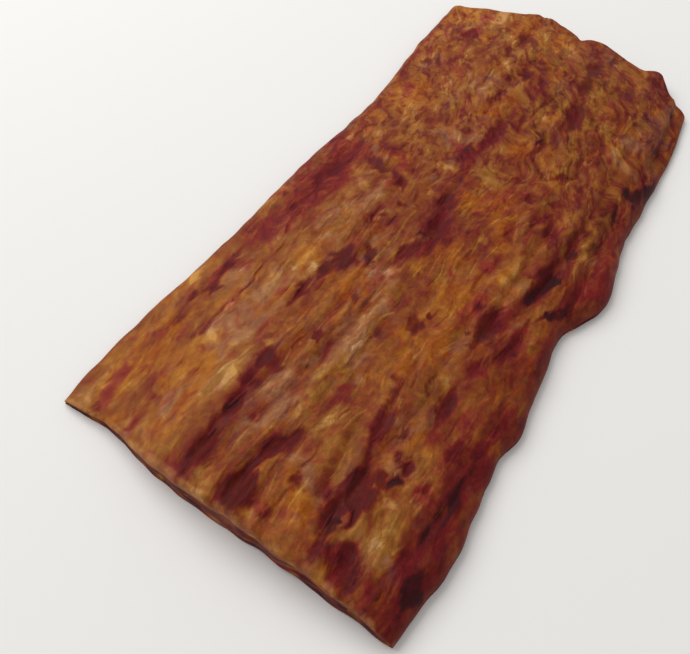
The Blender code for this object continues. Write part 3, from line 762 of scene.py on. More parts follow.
def full_thickness(u, v):
    """Thickness before the rims are rounded: crowned across, thinner at two places."""
    towards_left = np.maximum(0.0, (v - CROWN_PLACE) / (1 - CROWN_PLACE))
    towards_right = np.maximum(0.0, (CROWN_PLACE - v) / CROWN_PLACE)
    left_fall = (CROWN - LEFT_EDGE) * towards_left**LEFT_FALL
    right_fall = (CROWN - RIGHT_EDGE) * towards_right**RIGHT_FALL
    from_cut, from_left = u * LENGTH, (1 - v) * WIDTH
    corner = CORNER_THINNING * np.exp(-((from_cut / CORNER_REACH) ** 2) - (from_left / CORNER_REACH) ** 2)
    torn = TORN_THINNING * fade(1 - (1 - u) * LENGTH / TORN_REACH)
    return (CROWN - left_fall - right_fall) * (1 - corner) * (1 - torn)


def rounding(distance, radius, wall):
    """Share of the height at this distance from a rim that stands as a wall and then rounds over."""
    inward = np.clip(1 - distance / radius, 0.0, 1.0)
    return wall + (1 - wall) * np.sqrt(1 - inward * inward)


def rim_share(u, v):
    cut = rounding(u * LENGTH, CUT_ROUNDING, CUT_WALL)
    torn = rounding((1 - u) * LENGTH, TORN_ROUNDING, TORN_WALL)
    right = rounding(v * WIDTH, SIDE_ROUNDING, SIDE_WALL)
    left = rounding((1 - v) * WIDTH, SIDE_ROUNDING, SIDE_WALL)
    return cut * torn * np.minimum(right, left)


def ledge(x, v, height):
    """Lowers the right rim to a thin lip near the torn end."""
    on_ledge = 1 - fade((v * WIDTH - LEDGE_WIDTH) / LEDGE_STEP)
    begun = fade((x - LEDGE_START) / LEDGE_RUN)
    return between(height, np.minimum(height, LEDGE_HEIGHT), on_ledge * begun)


def bundles(x, y):
    """Long rounded bundles of fibre with sharp creases between them."""
    wandering = y + WANDER * stretched_noise(x, y, WANDER_LENGTH, WANDER_WIDTH, WANDER_LAYER)
    ridged = np.abs(stretched_noise(x, wandering, BUNDLE_LENGTH, BUNDLE_WIDTH, BUNDLE_LAYER))
    left = between(1, LEFT_CALM, fade((y - LEFT_CALM_START) / LEFT_CALM_RUN))
    far = between(1, FAR_CALM, fade((x - FAR_CALM_START) / FAR_CALM_RUN))
    return BUNDLE_HEIGHT * left * far * (ridged - BUNDLE_MEAN)


def lumps(x, y):
    return LUMP_HEIGHT * stretched_noise(x, y, LUMP_LENGTH, LUMP_WIDTH, LUMP_LAYER)


def groove(x, y, start_x, start_y, end_x, end_y, width, depth):
    """Depth of one lens-shaped groove at each point of the plan."""
    run_x, run_y = end_x - start_x, end_y - start_y
    length = np.hypot(run_x, run_y)
    along = ((x - start_x) * run_x + (y - start_y) * run_y) / length
    across = ((y - start_y) * run_x - (x - start_x) * run_y) / length
    beyond = np.maximum(0.0, np.maximum(-along, along - length))
    from_end = np.minimum(along, length - along) / length
    full = fade(GROOVE_TAPER * (from_end + GROOVE_OVERRUN))
    half = width / 2 * between(GROOVE_END_WIDTH, 1, full)
    left_of_it = np.exp(-((across / half) ** 2) - (2 * beyond / width) ** 2)
    return depth * between(GROOVE_END_DEPTH, 1, full) * left_of_it


def grooves(x, y, table, spread=1.0):
    """Depth of the grooves here, their courses wavering and their floors uneven, each made spread as wide."""
    course = COURSE_WAVER * stretched_noise(x, y, COURSE_WAVER_SIZE, COURSE_WAVER_SIZE, COURSE_LAYER)
    side = SIDE_WAVER * stretched_noise(x, y, SIDE_WAVER_LENGTH, SIDE_WAVER_WIDTH, SIDE_LAYER)
    uneven = 1 + FLOOR_UNEVENNESS * stretched_noise(x, y, FLOOR_LENGTH, FLOOR_WIDTH, FLOOR_LAYER)
    fray_x = FRAY * stretched_noise(x, y, *FRAY_SIZE, FRAY_LAYER)
    fray_y = FRAY * stretched_noise(x, y, *FRAY_SIZE, -FRAY_LAYER)
    deepest = np.zeros_like(x)
    for *ends, width, depth in table:
        depth_here = groove(x + course + fray_x, y + side + fray_y, *ends, spread * width, depth)
        deepest = np.maximum(deepest, depth_here)
    return uneven * deepest


def marks(x, y, table, layer):
    """Strength of a table's marks here, from 0 to 1, with wavering outlines."""
    aside_x = MARK_WAVER * stretched_noise(x, y, MARK_WAVER_SIZE, MARK_WAVER_SIZE, MARK_LAYER + layer)
    aside_y = MARK_WAVER * stretched_noise(x, y, MARK_WAVER_SIZE, MARK_WAVER_SIZE, MARK_LAYER - layer)
    aside_x += FRAY * stretched_noise(x, y, *FRAY_SIZE, FRAY_LAYER + layer)
    aside_y += FRAY * stretched_noise(x, y, *FRAY_SIZE, FRAY_LAYER - layer)
    strongest = np.zeros_like(x)
    for *ends, width, strength in table:
        mark = groove(x + aside_x, y + aside_y, *ends, MARK_SPREAD * width, 1.0)
        mark = strength * np.minimum(1.0, MARK_FLATNESS * mark)
        strongest = np.maximum(strongest, mark)
    return strongest


def zones(x, y):
    """What the broad zones add here to the tone and to the ruddy, warm, filmy and olive shares."""
    added = np.zeros((5, *x.shape))
    for centre_x, centre_y, along, across, *shares in ZONES:
        here = np.exp(-(((x - centre_x) / along) ** 2) - ((y - centre_y) / across) ** 2)
        added[: len(shares)] += np.multiply.outer(shares, here)
    return added


def underside(u, v):
    """Height of the underside: flat, with long shallow hollows, and lifted at the rims."""
    x, y = plan(u, v)
    from_cut = u * LENGTH
    from_other_rims = np.minimum((1 - u) * LENGTH, np.minimum(v, 1 - v) * WIDTH)
    hollow = np.maximum(0.0, stretched_noise(x, y, HOLLOW_LENGTH, HOLLOW_WIDTH, HOLLOW_LAYER) - HOLLOW_START)
    hollow *= fade(np.minimum(from_cut, from_other_rims) / HOLLOW_MARGIN)
    at_cut = CUT_LIFT * (1 - fade(from_cut / EDGE_LIFT_REACH))
    at_other_rims = 1 - fade(from_other_rims / EDGE_LIFT_REACH)
    lift = EDGE_LIFT * np.maximum(at_cut, at_other_rims) * full_thickness(u, v) / CROWN
    arch = swell(y, CUT_ARCHES) * (1 - fade(from_cut / ARCH_REACH))
    return HOLLOW_DEPTH * hollow + lift + arch


def grain(x, y):
    """How far along the grain and across it a point lies, in millimetres."""
    past = np.maximum(0.0, x - SLANT_START)
    eased = np.where(past < SLANT_RUN, past * past / (2 * SLANT_RUN), past - SLANT_RUN / 2)
    swirl = GRAIN_SWIRL * stretched_noise(x, y, GRAIN_SWIRL_LENGTH, GRAIN_SWIRL_WIDTH, SWIRL_LAYER)
    reach = GRAIN_WAVE * between(NEAR_WAVE, 1, far_half(x))
    wave_along = reach * stretched_noise(x, y, *GRAIN_WAVE_SIZE, WAVE_LAYER)
    wave_across = reach * stretched_noise(x, y, *GRAIN_WAVE_SIZE, -WAVE_LAYER)
    return x + wave_along, y - SLANT * eased + swirl + wave_across


def far_half(x):
    """Rises from 0 in the near half to 1 in the far one, where the fibres curl."""
    return fade((x - CURL_START) / CURL_RUN)


def smooth_skin(x, y):
    """Rises to 1 on the left of the near half, where a thin skin smooths the fibres over."""
    return fade((y - SKIN_START) / SKIN_RISE) * (1 - fade((x - SKIN_END) / SKIN_FALL))


def strands(along, across, width):
    """Strands of fibre, finer than the bundles, in two sizes: about -1 to 1."""
    coarse = stretched_noise(along, across, STRAND_LENGTH, width, STRAND_LAYER)
    fine = stretched_noise(along, across, FINER * STRAND_LENGTH, FINER * width, -STRAND_LAYER)
    return STRAND_MEAN - STRAND_RIDGE * np.abs(coarse) + FINER_HEIGHT * fine


def curls(along, across):
    """Short curly wrinkles: about -1 to 1."""
    twist_x = CURL_TWIST * stretched_noise(along, across, CURL_TWIST_SIZE, CURL_TWIST_SIZE, TWIST_LAYER)
    twist_y = CURL_TWIST * stretched_noise(along, across, CURL_TWIST_SIZE, CURL_TWIST_SIZE, -TWIST_LAYER)
    folds = stretched_noise(along + twist_x, across + twist_y, CURL_LENGTH, CURL_WIDTH, CURL_LAYER)
    return CURL_MEAN - CURL_RIDGE * np.abs(folds)


def top_surface(u, v, sizes):
    """The top's plan, its height and the attributes that its finish reads, at each point of the grid."""
    x, y = nicked(*plan(u, v), u, v)
    along, across = grain(x, y)
    thickness = full_thickness(u, v)
    scale = np.minimum(1.0, thickness / FULL_RELIEF_THICKNESS)
    deep = grooves(x, y, GROOVES)
    fine = grooves(x, y, CREASES)
    bundled = bundles(x, y)
    curled = far_half(x)
    finest = between(strands(along, across, sizes.strand_width / MM), curls(along, across), curled)
    patches = stretched_noise(along, across, PATCH_LENGTH, PATCH_WIDTH, PATCH_LAYER)
    finest *= PATCH_MEAN + PATCH_CHANGE * patches
    smooth = smooth_skin(x, y)
    finest *= 1 - SKIN_CALM * smooth
    relief = bundled + lumps(x, y) - GROOVE_CUT * deep - CREASE_CUT * fine
    relief += sizes.strand_height / MM * finest
    rim = rim_share(u, v)
    height = ledge(x, v, thickness + relief * scale) * rim
    height = np.maximum(height, underside(u, v) + THINNEST * rim)
    height = np.minimum(height, CAD_BOX[1][2] / MM)

    # The right shoulder: darker partly in its own colour and partly by painted shade, where the top slopes
    # away from the key light; also redder
    shoulder = fade((SHOULDER_START - y) / SHOULDER_RUN)
    shoulder *= 1 - SHOULDER_LOSS * fade((x - SHOULDER_LOSS_START) / SHOULDER_LOSS_RUN)
    # Painted highlight along the lip of the cut
    lip = LIP_MEAN + LIP_CHANGE * stretched_noise(x, y, *LIP_SIZE, LIP_LAYER)
    lip *= np.exp(-((u * LENGTH / LIP_WIDTH) ** 2))
    zone_tone, ruddy, warm, filmy, olive = zones(x, y)
    tone = PLAIN_TONE + zone_tone + BUNDLE_TONE * bundled + SHOULDER_COLOUR_AND_SHADE * shoulder
    # Painted light: paler towards the left side, which faces the key light
    tone += LEFT_PAINTED_LIGHT * fade((y - LEFT_PAINTED_LIGHT_START) / LEFT_PAINTED_LIGHT_RUN)
    tone += BLOTCH_TONE * stretched_noise(along, across, *BLOTCH_SIZE, BLOTCH_LAYER)
    streaks = stretched_noise(along, across, *STREAK_SIZE, STREAK_LAYER)
    tone += STREAK_TONE * (1 - STREAK_CALM * curled) * (1 - STREAK_CALM * smooth) * streaks
    hollow = grooves(x, y, GROOVES, STAIN_SPREAD) + grooves(x, y, CREASES, STAIN_SPREAD)
    hollow += DARK_HOLLOW * marks(x, y, DARK_MARKS, 2)
    red = marks(x, y, RED_MARKS, 4)
    values = {
        "tone": tone,
        "hollow": np.clip(hollow * (1 - RED_LIFT * red), 0, 1),
        "pale": np.clip(marks(x, y, PALE_AND_HIGHLIGHT_MARKS, 1), 0, 1),
        "lip": np.clip(lip, 0, 1),
        "charred": marks(x, y, CHAR_MARKS, 3),
        "ruddy": np.clip(ruddy + red + SHOULDER_RUDDY * shoulder, 0, 1),
        # Orange marks, two of them painted light on the low ledge's lit side
        "warm": np.clip(warm + marks(x, y, ORANGE_AND_LIT_LEDGE_MARKS, 5), 0, 1),
        # Greyish mauve: partly painted sheen
        "filmy": np.clip(filmy + marks(x, y, MAUVE_AND_SHEEN_MARKS, 6), 0, 1),
        "olive": np.clip(olive, 0, 1),
        "curled": curled,
        "smooth": smooth,
    }
    return x, y, height, values


def grid_lines(length, cell):
    """Shares of a side at which grid lines run: close together at both rims, even between, even in number."""
    steps = [RIM_CELL]
    while steps[-1] * RIM_GROWTH < cell:
        steps.append(steps[-1] * RIM_GROWTH)
    middle = 2 * round((length - 2 * sum(steps)) / cell / 2)
    even = [(length - 2 * sum(steps)) / middle] * middle
    return np.cumsum([0, *steps, *even, *reversed(steps)]) / length


def rim_path(columns, rows):
    """Grid places round the rim, anticlockwise from above, starting at the cut end's right corner."""
    right = [(i, 0) for i in range(columns)]
    torn = [(columns, j) for j in range(rows)]
    left = [(i, rows) for i in range(columns, 0, -1)]
    cut = [(0, j) for j in range(rows, 0, -1)]
    return np.array(right + torn + left + cut).T


def grid_faces(numbers):
    """Faces between the points of a grid, given their numbers; they face up."""
    corners = [numbers[:-1, :-1], numbers[1:, :-1], numbers[1:, 1:], numbers[:-1, 1:]]
    return np.stack([c.ravel() for c in corners], 1).tolist()


def under_finish(x, y):
    """The attributes that the finish reads on the underside."""
    blotches = stretched_noise(x, y, *BLOTCH_SIZE, BLOTCH_LAYER)
    streaks = stretched_noise(x, y, *UNDER_STREAK_SIZE, STREAK_LAYER)
    return {
        "tone": UNDER_TONE + UNDER_BLOTCH_TONE * blotches + UNDER_STREAK_TONE * streaks,
        "hollow": np.clip(2.0 * streaks - 0.5, 0, 1),
        "ruddy": np.clip(0.15 - 0.9 * blotches, 0, 1),
        "olive": np.clip(0.2 + 0.8 * blotches, 0, 1),
    }


def wall_finish(share, layers, spots, at_cut):
    """The same on a rim's wall, this share of the way up; at_cut is 1 on the cut end and 0 elsewhere."""
    # Painted highlight: the top of the cut's wall is paler, where the lip rounds over
    edge = CUT_EDGE_HIGHLIGHT * fade((share - CUT_EDGE_HIGHLIGHT_START) / CUT_EDGE_HIGHLIGHT_RUN)
    # Walls other than the cut are darker: painted shade
    return {
        "tone": between(UNCUT_WALLS_TONE_AND_SHADE, CUT_TONE, at_cut) + LAYER_TONE * layers + edge * at_cut,
        "hollow": np.clip(between(UNCUT_WALLS_SHADE_HOLLOW, CUT_HOLLOW, at_cut) + SPOT_HOLLOW * spots, 0, 1),
        "ruddy": between(0.4, 0.1 - layers, at_cut),
        "olive": (0.3 + layers) * at_cut,
        "warm": between(0.3 + spots, 0.1, at_cut),
        "charred": np.clip(SPOT_CHAR * spots - SPOT_CHAR_START, 0, 1),
    }


def store(mesh, name, parts):
    """Stores a vector attribute on a mesh's points, given its three components."""
    attribute = mesh.attributes.new(name, "FLOAT_VECTOR", "POINT")
    attribute.data.foreach_set("vector", np.stack(parts, 1).astype(np.float32).ravel())


def slab_mesh(sizes):
    """A fine grid over the top, a coarser one under it, and a wall of rows round the rim."""
    shares_u = grid_lines(LENGTH, CELL_ALONG)
    shares_v = grid_lines(WIDTH, CELL_ACROSS)
    u, v = np.meshgrid(shares_u, shares_v, indexing="ij")
    x, y, height, values = top_surface(u, v, sizes)
    columns, rows = len(shares_u) - 1, len(shares_v) - 1

    points = [np.stack([x, y, height], -1).reshape(-1, 3)]
    held = {name: [value.ravel()] for name, value in values.items()}
    top = np.arange(x.size).reshape(x.shape)
    faces = grid_faces(top)

    def extend(px, py, pz, **given):
        """Adds points with their attributes and returns their numbers."""
        first = sum(len(p) for p in points)
        points.append(np.stack([px, py, pz], -1).reshape(-1, 3))
        for name, values_so_far in held.items():
            values_so_far.append(np.broadcast_to(given.get(name, 0.0), px.shape).ravel())
        return np.arange(first, first + px.size).reshape(px.shape)

    under_u, under_v = u[::2, ::2], v[::2, ::2]
    under_x, under_y = x[::2, ::2], y[::2, ::2]
    under = extend(under_x, under_y, underside(under_u, under_v), **under_finish(under_x, under_y))
    faces += [face[::-1] for face in grid_faces(under)]

    place = tuple(rim_path(columns, rows))
    rim_x, rim_y, rim_top = x[place], y[place], height[place]
    rim_under = underside(u[place], v[place])
    at_cut = 1.0 * (u[place] < ON_RIM)
    into_x = at_cut - (u[place] > 1 - ON_RIM)
    into_y = 1.0 * (v[place] < ON_RIM) - (v[place] > 1 - ON_RIM)
    rings = []
    for row in range(1, WALL_ROWS):
        share = row / WALL_ROWS
        z = between(rim_under, rim_top, share)
        layers = stretched_noise(rim_x + rim_y, z, *LAYERS_SIZE, WALL_LAYER)
        spots = stretched_noise(rim_x + rim_y, z, *SPOTS_SIZE, -WALL_LAYER)
        sunk = WALL_SINK * (WALL_SINK_MEAN + layers) * sin(pi * share)
        finish = wall_finish(share, layers, spots, at_cut)
        rings.append(extend(rim_x + sunk * into_x, rim_y + sunk * into_y, z, **finish))
    rings.append(top[place])
    for lower, upper in zip(rings, rings[1:]):
        quads = np.stack([lower, np.roll(lower, -1), np.roll(upper, -1), upper], 1)
        faces += quads.tolist()
    coarse = tuple(rim_path(columns // 2, rows // 2))
    foot = under[coarse]
    lowest = rings[0]
    starts, middles, ends = lowest[::2], lowest[1::2], np.roll(lowest, -2)[::2]
    faces += np.stack([foot, np.roll(foot, -1), ends, middles, starts], 1).tolist()

    mesh = bpy.data.meshes.new("meat-slab")
    all_points = np.concatenate(points)
    mesh.from_pydata(all_points * MM, [], faces)
    mesh.shade_smooth()
    along, across = grain(all_points[:, 0], all_points[:, 1])
    store(mesh, "grain", [along, across, all_points[:, 2]])
    rise_x = grain(all_points[:, 0] + COURSE_STEP, all_points[:, 1])[1] - across
    rise_y = grain(all_points[:, 0], all_points[:, 1] + COURSE_STEP)[1] - across
    store(mesh, "course", [rise_y, -rise_x, np.zeros_like(rise_x)])
    for name, parts in held.items():
        attribute = mesh.attributes.new(name, "FLOAT", "POINT")
        attribute.data.foreach_set("value", np.concatenate(parts).astype(np.float32))
    return mesh


def fibre_nodes(material):
    """Geometry nodes that lay loose fibres along the grain on a mesh's top and give them its attributes."""
    tree = bpy.data.node_groups.new("loose fibres", "GeometryNodeTree")
    tree.interface.new_socket("Geometry", in_out="INPUT", socket_type="NodeSocketGeometry")
    for name in ("Density", "Length", "Width", "Lift", "Bend"):
        tree.interface.new_socket(name, in_out="INPUT", socket_type="NodeSocketFloat")
    tree.interface.new_socket("Seed", in_out="INPUT", socket_type="NodeSocketInt")
    tree.interface.new_socket("Geometry", in_out="OUTPUT", socket_type="NodeSocketGeometry")
    node = partial(add, tree)
    given = node("NodeGroupInput", output=None)

    def named(name, data_type="FLOAT"):
        links = [("Name", name)]
        return node("GeometryNodeInputNamedAttribute", links, data_type=data_type, output="Attribute")

    def calculated(operation, *values):
        return node("ShaderNodeMath", enumerate(values), operation=operation)

    def logic(operation, *values):
        return node("FunctionNodeBooleanMath", enumerate(values), operation=operation)

    def random_value(low, high, seed):
        return node("FunctionNodeRandomValue", [(2, low), (3, high), ("Seed", seed)], output=1)

    def combined(x, y, z):
        return node("ShaderNodeCombineXYZ", [("X", x), ("Y", y), ("Z", z)])

    def upward(vector):
        return node("ShaderNodeSeparateXYZ", [(0, vector)], output="Z")

    def scaled(vector, factor):
        return node("ShaderNodeVectorMath", [(0, vector), ("Scale", factor)], operation="SCALE")

    def changed(geometry, kind, *links, **settings):
        return node(kind, [("Geometry", geometry), *links], **settings)

    # Points on the faces that look up, each with a straight line along the grain
    facing_up = calculated("GREATER_THAN", upward(node("GeometryNodeInputNormal")), LEAST_FACING_UP)
    uncovered = calculated("MULTIPLY_ADD", named("smooth"), -SKIN_THINNING, 1.0)
    links = [("Mesh", given["Geometry"]), ("Density", calculated("MULTIPLY", uncovered, given["Density"]))]
    links += [("Seed", given["Seed"]), ("Selection", facing_up)]
    points = node("GeometryNodeDistributePointsOnFaces", links)
    line = node("GeometryNodeCurvePrimitiveLine", [("Start", (-0.5, 0, 0)), ("End", (0.5, 0, 0))])
    line = node("GeometryNodeResampleCurve", [("Curve", line), ("Count", FIBRE_POINTS)])
    links = [("Vector", named("course", "FLOAT_VECTOR"))]
    turned = node("FunctionNodeAlignRotationToVector", links, axis="X")
    # Shorter where they curl
    shortened = calculated("MULTIPLY_ADD", named("curled"), -CURL_SHORTENING, 1.0)
    length = calculated("MULTIPLY", random_value(*FIBRE_LENGTHS, given["Seed"]), shortened)
    length = calculated("MULTIPLY", length, given["Length"])
    links = [("Points", points), ("Instance", line), ("Rotation", turned)]
    links += [("Scale", combined(length, 1.0, 1.0))]
    fibres = node("GeometryNodeInstanceOnPoints", links)
    links = [("Name", "paler"), ("Value", random_value(*FIBRE_TONES, TONE_SEED))]
    fibres = changed(fibres, "GeometryNodeStoreNamedAttribute", *links, data_type="FLOAT", domain="INSTANCE")
    fibres = changed(fibres, "GeometryNodeRealizeInstances")

    # Bent sideways, then let down onto the surface, with their ends sunk into it
    links = [("Vector", node("GeometryNodeInputPosition")), ("Scale", 1 / (BEND_SIZE * MM)), ("Detail", 1.0)]
    waves = node("ShaderNodeTexNoise", links, output="Color")
    waves = node("ShaderNodeVectorMath", [(0, waves), (1, (0.5, 0.5, 0.5))], operation="SUBTRACT")
    fibres = changed(fibres, "GeometryNodeSetPosition", ("Offset", scaled(waves, given["Bend"])))
    split = node("ShaderNodeSeparateXYZ", [(0, node("GeometryNodeInputPosition"))], output=None)
    above = combined(split["X"], split["Y"], RAY_START * MM)
    links = [("Target Geometry", given["Geometry"]), ("Source Position", above)]
    links += [("Ray Direction", (0, 0, -1)), ("Ray Length", RAY_LENGTH * MM)]
    hit = node("GeometryNodeRaycast", links, output=None)
    too_high = calculated("GREATER_THAN", upward(hit["Hit Position"]), CAD_BOX[1][2] - FIBRE_ROOM * MM)
    too_steep = calculated("LESS_THAN", upward(hit["Hit Normal"]), LEAST_FACING_UP)
    missed = logic("OR", logic("OR", logic("NOT", hit["Is Hit"]), too_high), too_steep)
    share = node("GeometryNodeSplineParameter", output="Factor")
    # A round arch over the fibre's length: 0 at its ends and 1 in its middle
    middle = calculated("MULTIPLY", calculated("MULTIPLY", share, 4.0), calculated("SUBTRACT", 1.0, share))
    middle = calculated("SQRT", calculated("MAXIMUM", middle, 0.0))
    width = calculated("MULTIPLY", given["Width"], calculated("MULTIPLY_ADD", middle, FIBRE_SWELL, FIBRE_TIP))
    sunk = calculated("MULTIPLY_ADD", middle, FIBRE_SINK * MM, -FIBRE_SINK * MM)
    height = calculated("ADD", given["Lift"], sunk)
    fibres = changed(fibres, "GeometryNodeDeleteGeometry", ("Selection", missed))
    links = [("Position", hit["Hit Position"]), ("Offset", scaled(hit["Hit Normal"], height))]
    fibres = changed(fibres, "GeometryNodeSetPosition", *links)
    # A fibre that lost most of its points would be a stub, or a disc with no thickness
    points_left = node("GeometryNodeSplineLength", output="Point Count")
    stub = calculated("LESS_THAN", points_left, LEAST_FIBRE_POINTS)
    fibres = changed(fibres, "GeometryNodeDeleteGeometry", ("Selection", stub), domain="CURVE")
    ring = node("GeometryNodeCurvePrimitiveCircle", [("Resolution", FIBRE_SIDES), ("Radius", 1.0)])
    links = [("Curve", fibres), ("Profile Curve", ring), ("Scale", width), ("Fill Caps", True)]
    fibres = node("GeometryNodeCurveToMesh", links)

    # The slab's own attributes, so that a fibre matches the meat that it lies on
    for name in FIBRE_ATTRIBUTES:
        data_type = "FLOAT_VECTOR" if name == "grain" else "FLOAT"
        links = [("Mesh", given["Geometry"]), ("Value", named(name, data_type))]
        value = node("GeometryNodeSampleNearestSurface", links, data_type=data_type, output="Value")
        if name == "tone":
            value = calculated("ADD", value, named("paler"))
        links = [("Name", name), ("Value", value)]
        settings = {"data_type": data_type, "domain": "POINT"}
        fibres = changed(fibres, "GeometryNodeStoreNamedAttribute", *links, **settings)
    fibres = changed(fibres, "GeometryNodeRealizeInstances")
    fibres = changed(fibres, "GeometryNodeSetMaterial", ("Material", material))
    changed(fibres, "NodeGroupOutput", output=None)
    return tree


def fibre_mesh(slab, sizes):
    """The loose fibres as one plain mesh."""
    carrier = bpy.data.objects.new("fibre carrier", slab.data.copy())
    bpy.context.scene.collection.objects.link(carrier)
    modifier = carrier.modifiers.new("loose fibres", "NODES")
    modifier.node_group = fibre_nodes(slab.data.materials[0])
    given = {
        "Density": sizes.fibre_density,
        "Length": sizes.fibre_length,
        "Width": sizes.fibre_width,
        "Lift": FIBRE_LIFT * MM,
        "Bend": FIBRE_BEND * MM,
        "Seed": FIBRE_SEED,
    }
    for item in modifier.node_group.interface.items_tree:
        if item.in_out == "INPUT" and item.name in given:
            modifier[item.identifier] = given[item.name]
    ready = carrier.evaluated_get(bpy.context.evaluated_depsgraph_get())
    mesh = bpy.data.meshes.new_from_object(ready)
    mesh.name = "loose-fibres"
    mesh.shade_smooth()
    bpy.data.objects.remove(carrier)
    return mesh


def air_dried_meat(colours):
    """Air-dried meat: lean muscle dried hard, red brown to ochre, maroon where it is hollow, with a dull,
    slightly greasy skin that shines softly."""
    material = bpy.data.materials.new("air-dried meat")
    material.use_nodes = True
    tree = material.node_tree
    node = partial(add, tree)
    shader = tree.nodes["Principled BSDF"]

    def attribute(name, output="Fac"):
        return node("ShaderNodeAttribute", attribute_name=name, output=output)

    def pattern(vector, sizes, detail, roughness, distortion):
        """Noise whose features have these sizes, in the vector's own unit."""
        scaled = node("ShaderNodeMapping", [("Vector", vector), ("Scale", tuple(1 / size for size in sizes))])
        links = [("Vector", scaled), ("Scale", 1.0), ("Detail", detail)]
        links += [("Roughness", roughness), ("Distortion", distortion)]
        return node("ShaderNodeTexNoise", links, output="Fac")

    def calculated(operation, *values):
        return node("ShaderNodeMath", enumerate(values), operation=operation)

    def adjusted(value, factor, offset):
        """value times factor plus offset."""
        return calculated("MULTIPLY_ADD", value, factor, offset)

    def varied(level, texture, reach):
        """The level moved up and down by a texture that is a half on average."""
        return adjusted(texture, reach, adjusted(level, 1.0, -0.5 * reach))

    def stepped(value, low, high, at_low, at_high):
        """Runs smoothly from at_low, where value is low, to at_high."""
        links = [("Value", value), ("From Min", low), ("From Max", high)]
        links += [("To Min", at_low), ("To Max", at_high)]
        return node("ShaderNodeMapRange", links, interpolation_type="SMOOTHSTEP")

    def mix(share, low, high, kind="FLOAT"):
        """Runs from low to high, numbers or colours, as share goes from 0 to 1."""
        first, result = {"FLOAT": (2, 0), "RGBA": (6, 2)}[kind]
        links = [(0, share), (first, low), (first + 1, high)]
        return node("ShaderNodeMix", links, data_type=kind, output=result)

    def ragged(name, edge, reach, low, high):
        """Where the named attribute shows: its outline is broken up by the noise called edge."""
        return stepped(varied(attribute(name), edge, reach), low, high, 0.0, 1.0)

    def shown(name, edge, reach, low, high):
        """As ragged, but only where the named attribute is more than nothing."""
        there = stepped(attribute(name), 0.0, 0.25, 0.0, 1.0)
        return calculated("MULTIPLY", ragged(name, edge, reach, low, high), there)

    def ramp(stops):
        """The colour of the level here, from stops of levels and colours."""
        return node("ShaderNodeValToRGB", [("Fac", level)], stops)

    grain_course = attribute("grain", "Vector")
    curled = attribute("curled")
    marbling = pattern(grain_course, *MARBLING)
    fibres = pattern(grain_course, *FIBRE_GRAIN)
    skin = pattern(node("ShaderNodeTexCoord", output="Object"), *SKIN_GRAIN)
    hollow_edge = pattern(grain_course, *HOLLOW_EDGE)
    edges = {name: pattern(grain_course, sizes, *PATCH_EDGE) for name, (sizes, _) in PATCHES.items()}

    level = varied(attribute("tone"), marbling, MARBLING_LEVEL)
    # Curly lines of dark lean, about 1 mm wide, between lighter fibres, in the far half
    off_line = calculated("ABSOLUTE", adjusted(pattern(grain_course, *CURLY_LINES), 1.0, -0.5))
    lines = stepped(varied(off_line, marbling, 0.25), -0.02, 0.07, 1.0, 0.0)
    level = adjusted(calculated("MULTIPLY", lines, curled), LINE_LEVEL, level)
    # Small dark knots between the curls
    knots = stepped(pattern(grain_course, *KNOTS), 0.5, 0.68, 0.0, 1.0)
    level = adjusted(calculated("MULTIPLY", knots, curled), KNOT_LEVEL, level)
    sunk_level = adjusted(curled, 0.05, adjusted(marbling, 0.4, -0.07))
    level = mix(ragged("hollow", hollow_edge, 1.7, 0.12, 0.75), level, sunk_level)
    # Pale marks lift the level: cream fat and fibre, and painted highlights
    level = adjusted(shown("pale", hollow_edge, 1.6, 0.1, 0.9), PALE_AND_HIGHLIGHT_LEVEL, level)
    charred = shown("charred", hollow_edge, 1.6, 0.15, 0.9)
    level = mix(charred, level, CHARRED_LEVEL)
    # The lip of the cut is paler: painted highlight along its rounded edge
    lip = shown("lip", edges["ruddy"], 2.6, 0.0, 1.3)
    level = adjusted(lip, LIP_HIGHLIGHT_LEVEL, level)

    stops = [(0.0, colours.pit), (0.18, colours.hollow), (0.34, colours.lean)]
    stops += [(0.5, colours.ochre), (0.68, colours.ridge), (0.9, colours.fat)]
    colour = ramp(stops)
    for name, (_, hexes) in PATCHES.items():
        share = adjusted(ragged(name, edges[name], PATCH_REACH, 0.1, 1.15), PATCH_COVER, 0.0)
        stops = [(at, surface_colour(value)) for at, value in zip(PATCH_LEVELS, hexes)]
        colour = mix(share, colour, ramp(stops), "RGBA")
    # Painted highlight on the lip of the cut, in its own colour
    colour = mix(adjusted(lip, LIP_HIGHLIGHT_COVER, 0.0), colour, (*colours.lip, 1), "RGBA")
    colour = mix(adjusted(charred, CHAR_COVER, 0.0), colour, (*colours.char, 1), "RGBA")
    # The finest contrast is of light and dark alone, and follows the bump's height: partly fibre grain,
    # partly painted shade and highlight of the finest relief
    contrast = adjusted(curled, -0.12, adjusted(attribute("smooth"), -0.45, 1.0))
    finest = adjusted(fibres, 0.5, adjusted(skin, 1.0, -0.75))
    grain_and_relief_shade = adjusted(finest, contrast, 0.89)
    colour = node("ShaderNodeVectorMath", [(0, colour), ("Scale", grain_and_relief_shade)], operation="SCALE")
    tree.links.new(colour, shader.inputs["Base Color"])

    # Greasy in places: a little smoother where the marbling is dark
    tree.links.new(adjusted(marbling, 0.3, adjusted(skin, 0.2, 0.33)), shader.inputs["Roughness"])
    shader.inputs["Specular IOR Level"].default_value = 0.12
    shader.inputs["IOR"].default_value = 1.45
    height = adjusted(adjusted(fibres, 0.5, adjusted(skin, 0.5, 0.0)), contrast, 0.0)
    bump = node("ShaderNodeBump", [("Height", height), ("Strength", 0.7), ("Distance", 0.25 * MM)])
    tree.links.new(bump, shader.inputs["Normal"])
    return material


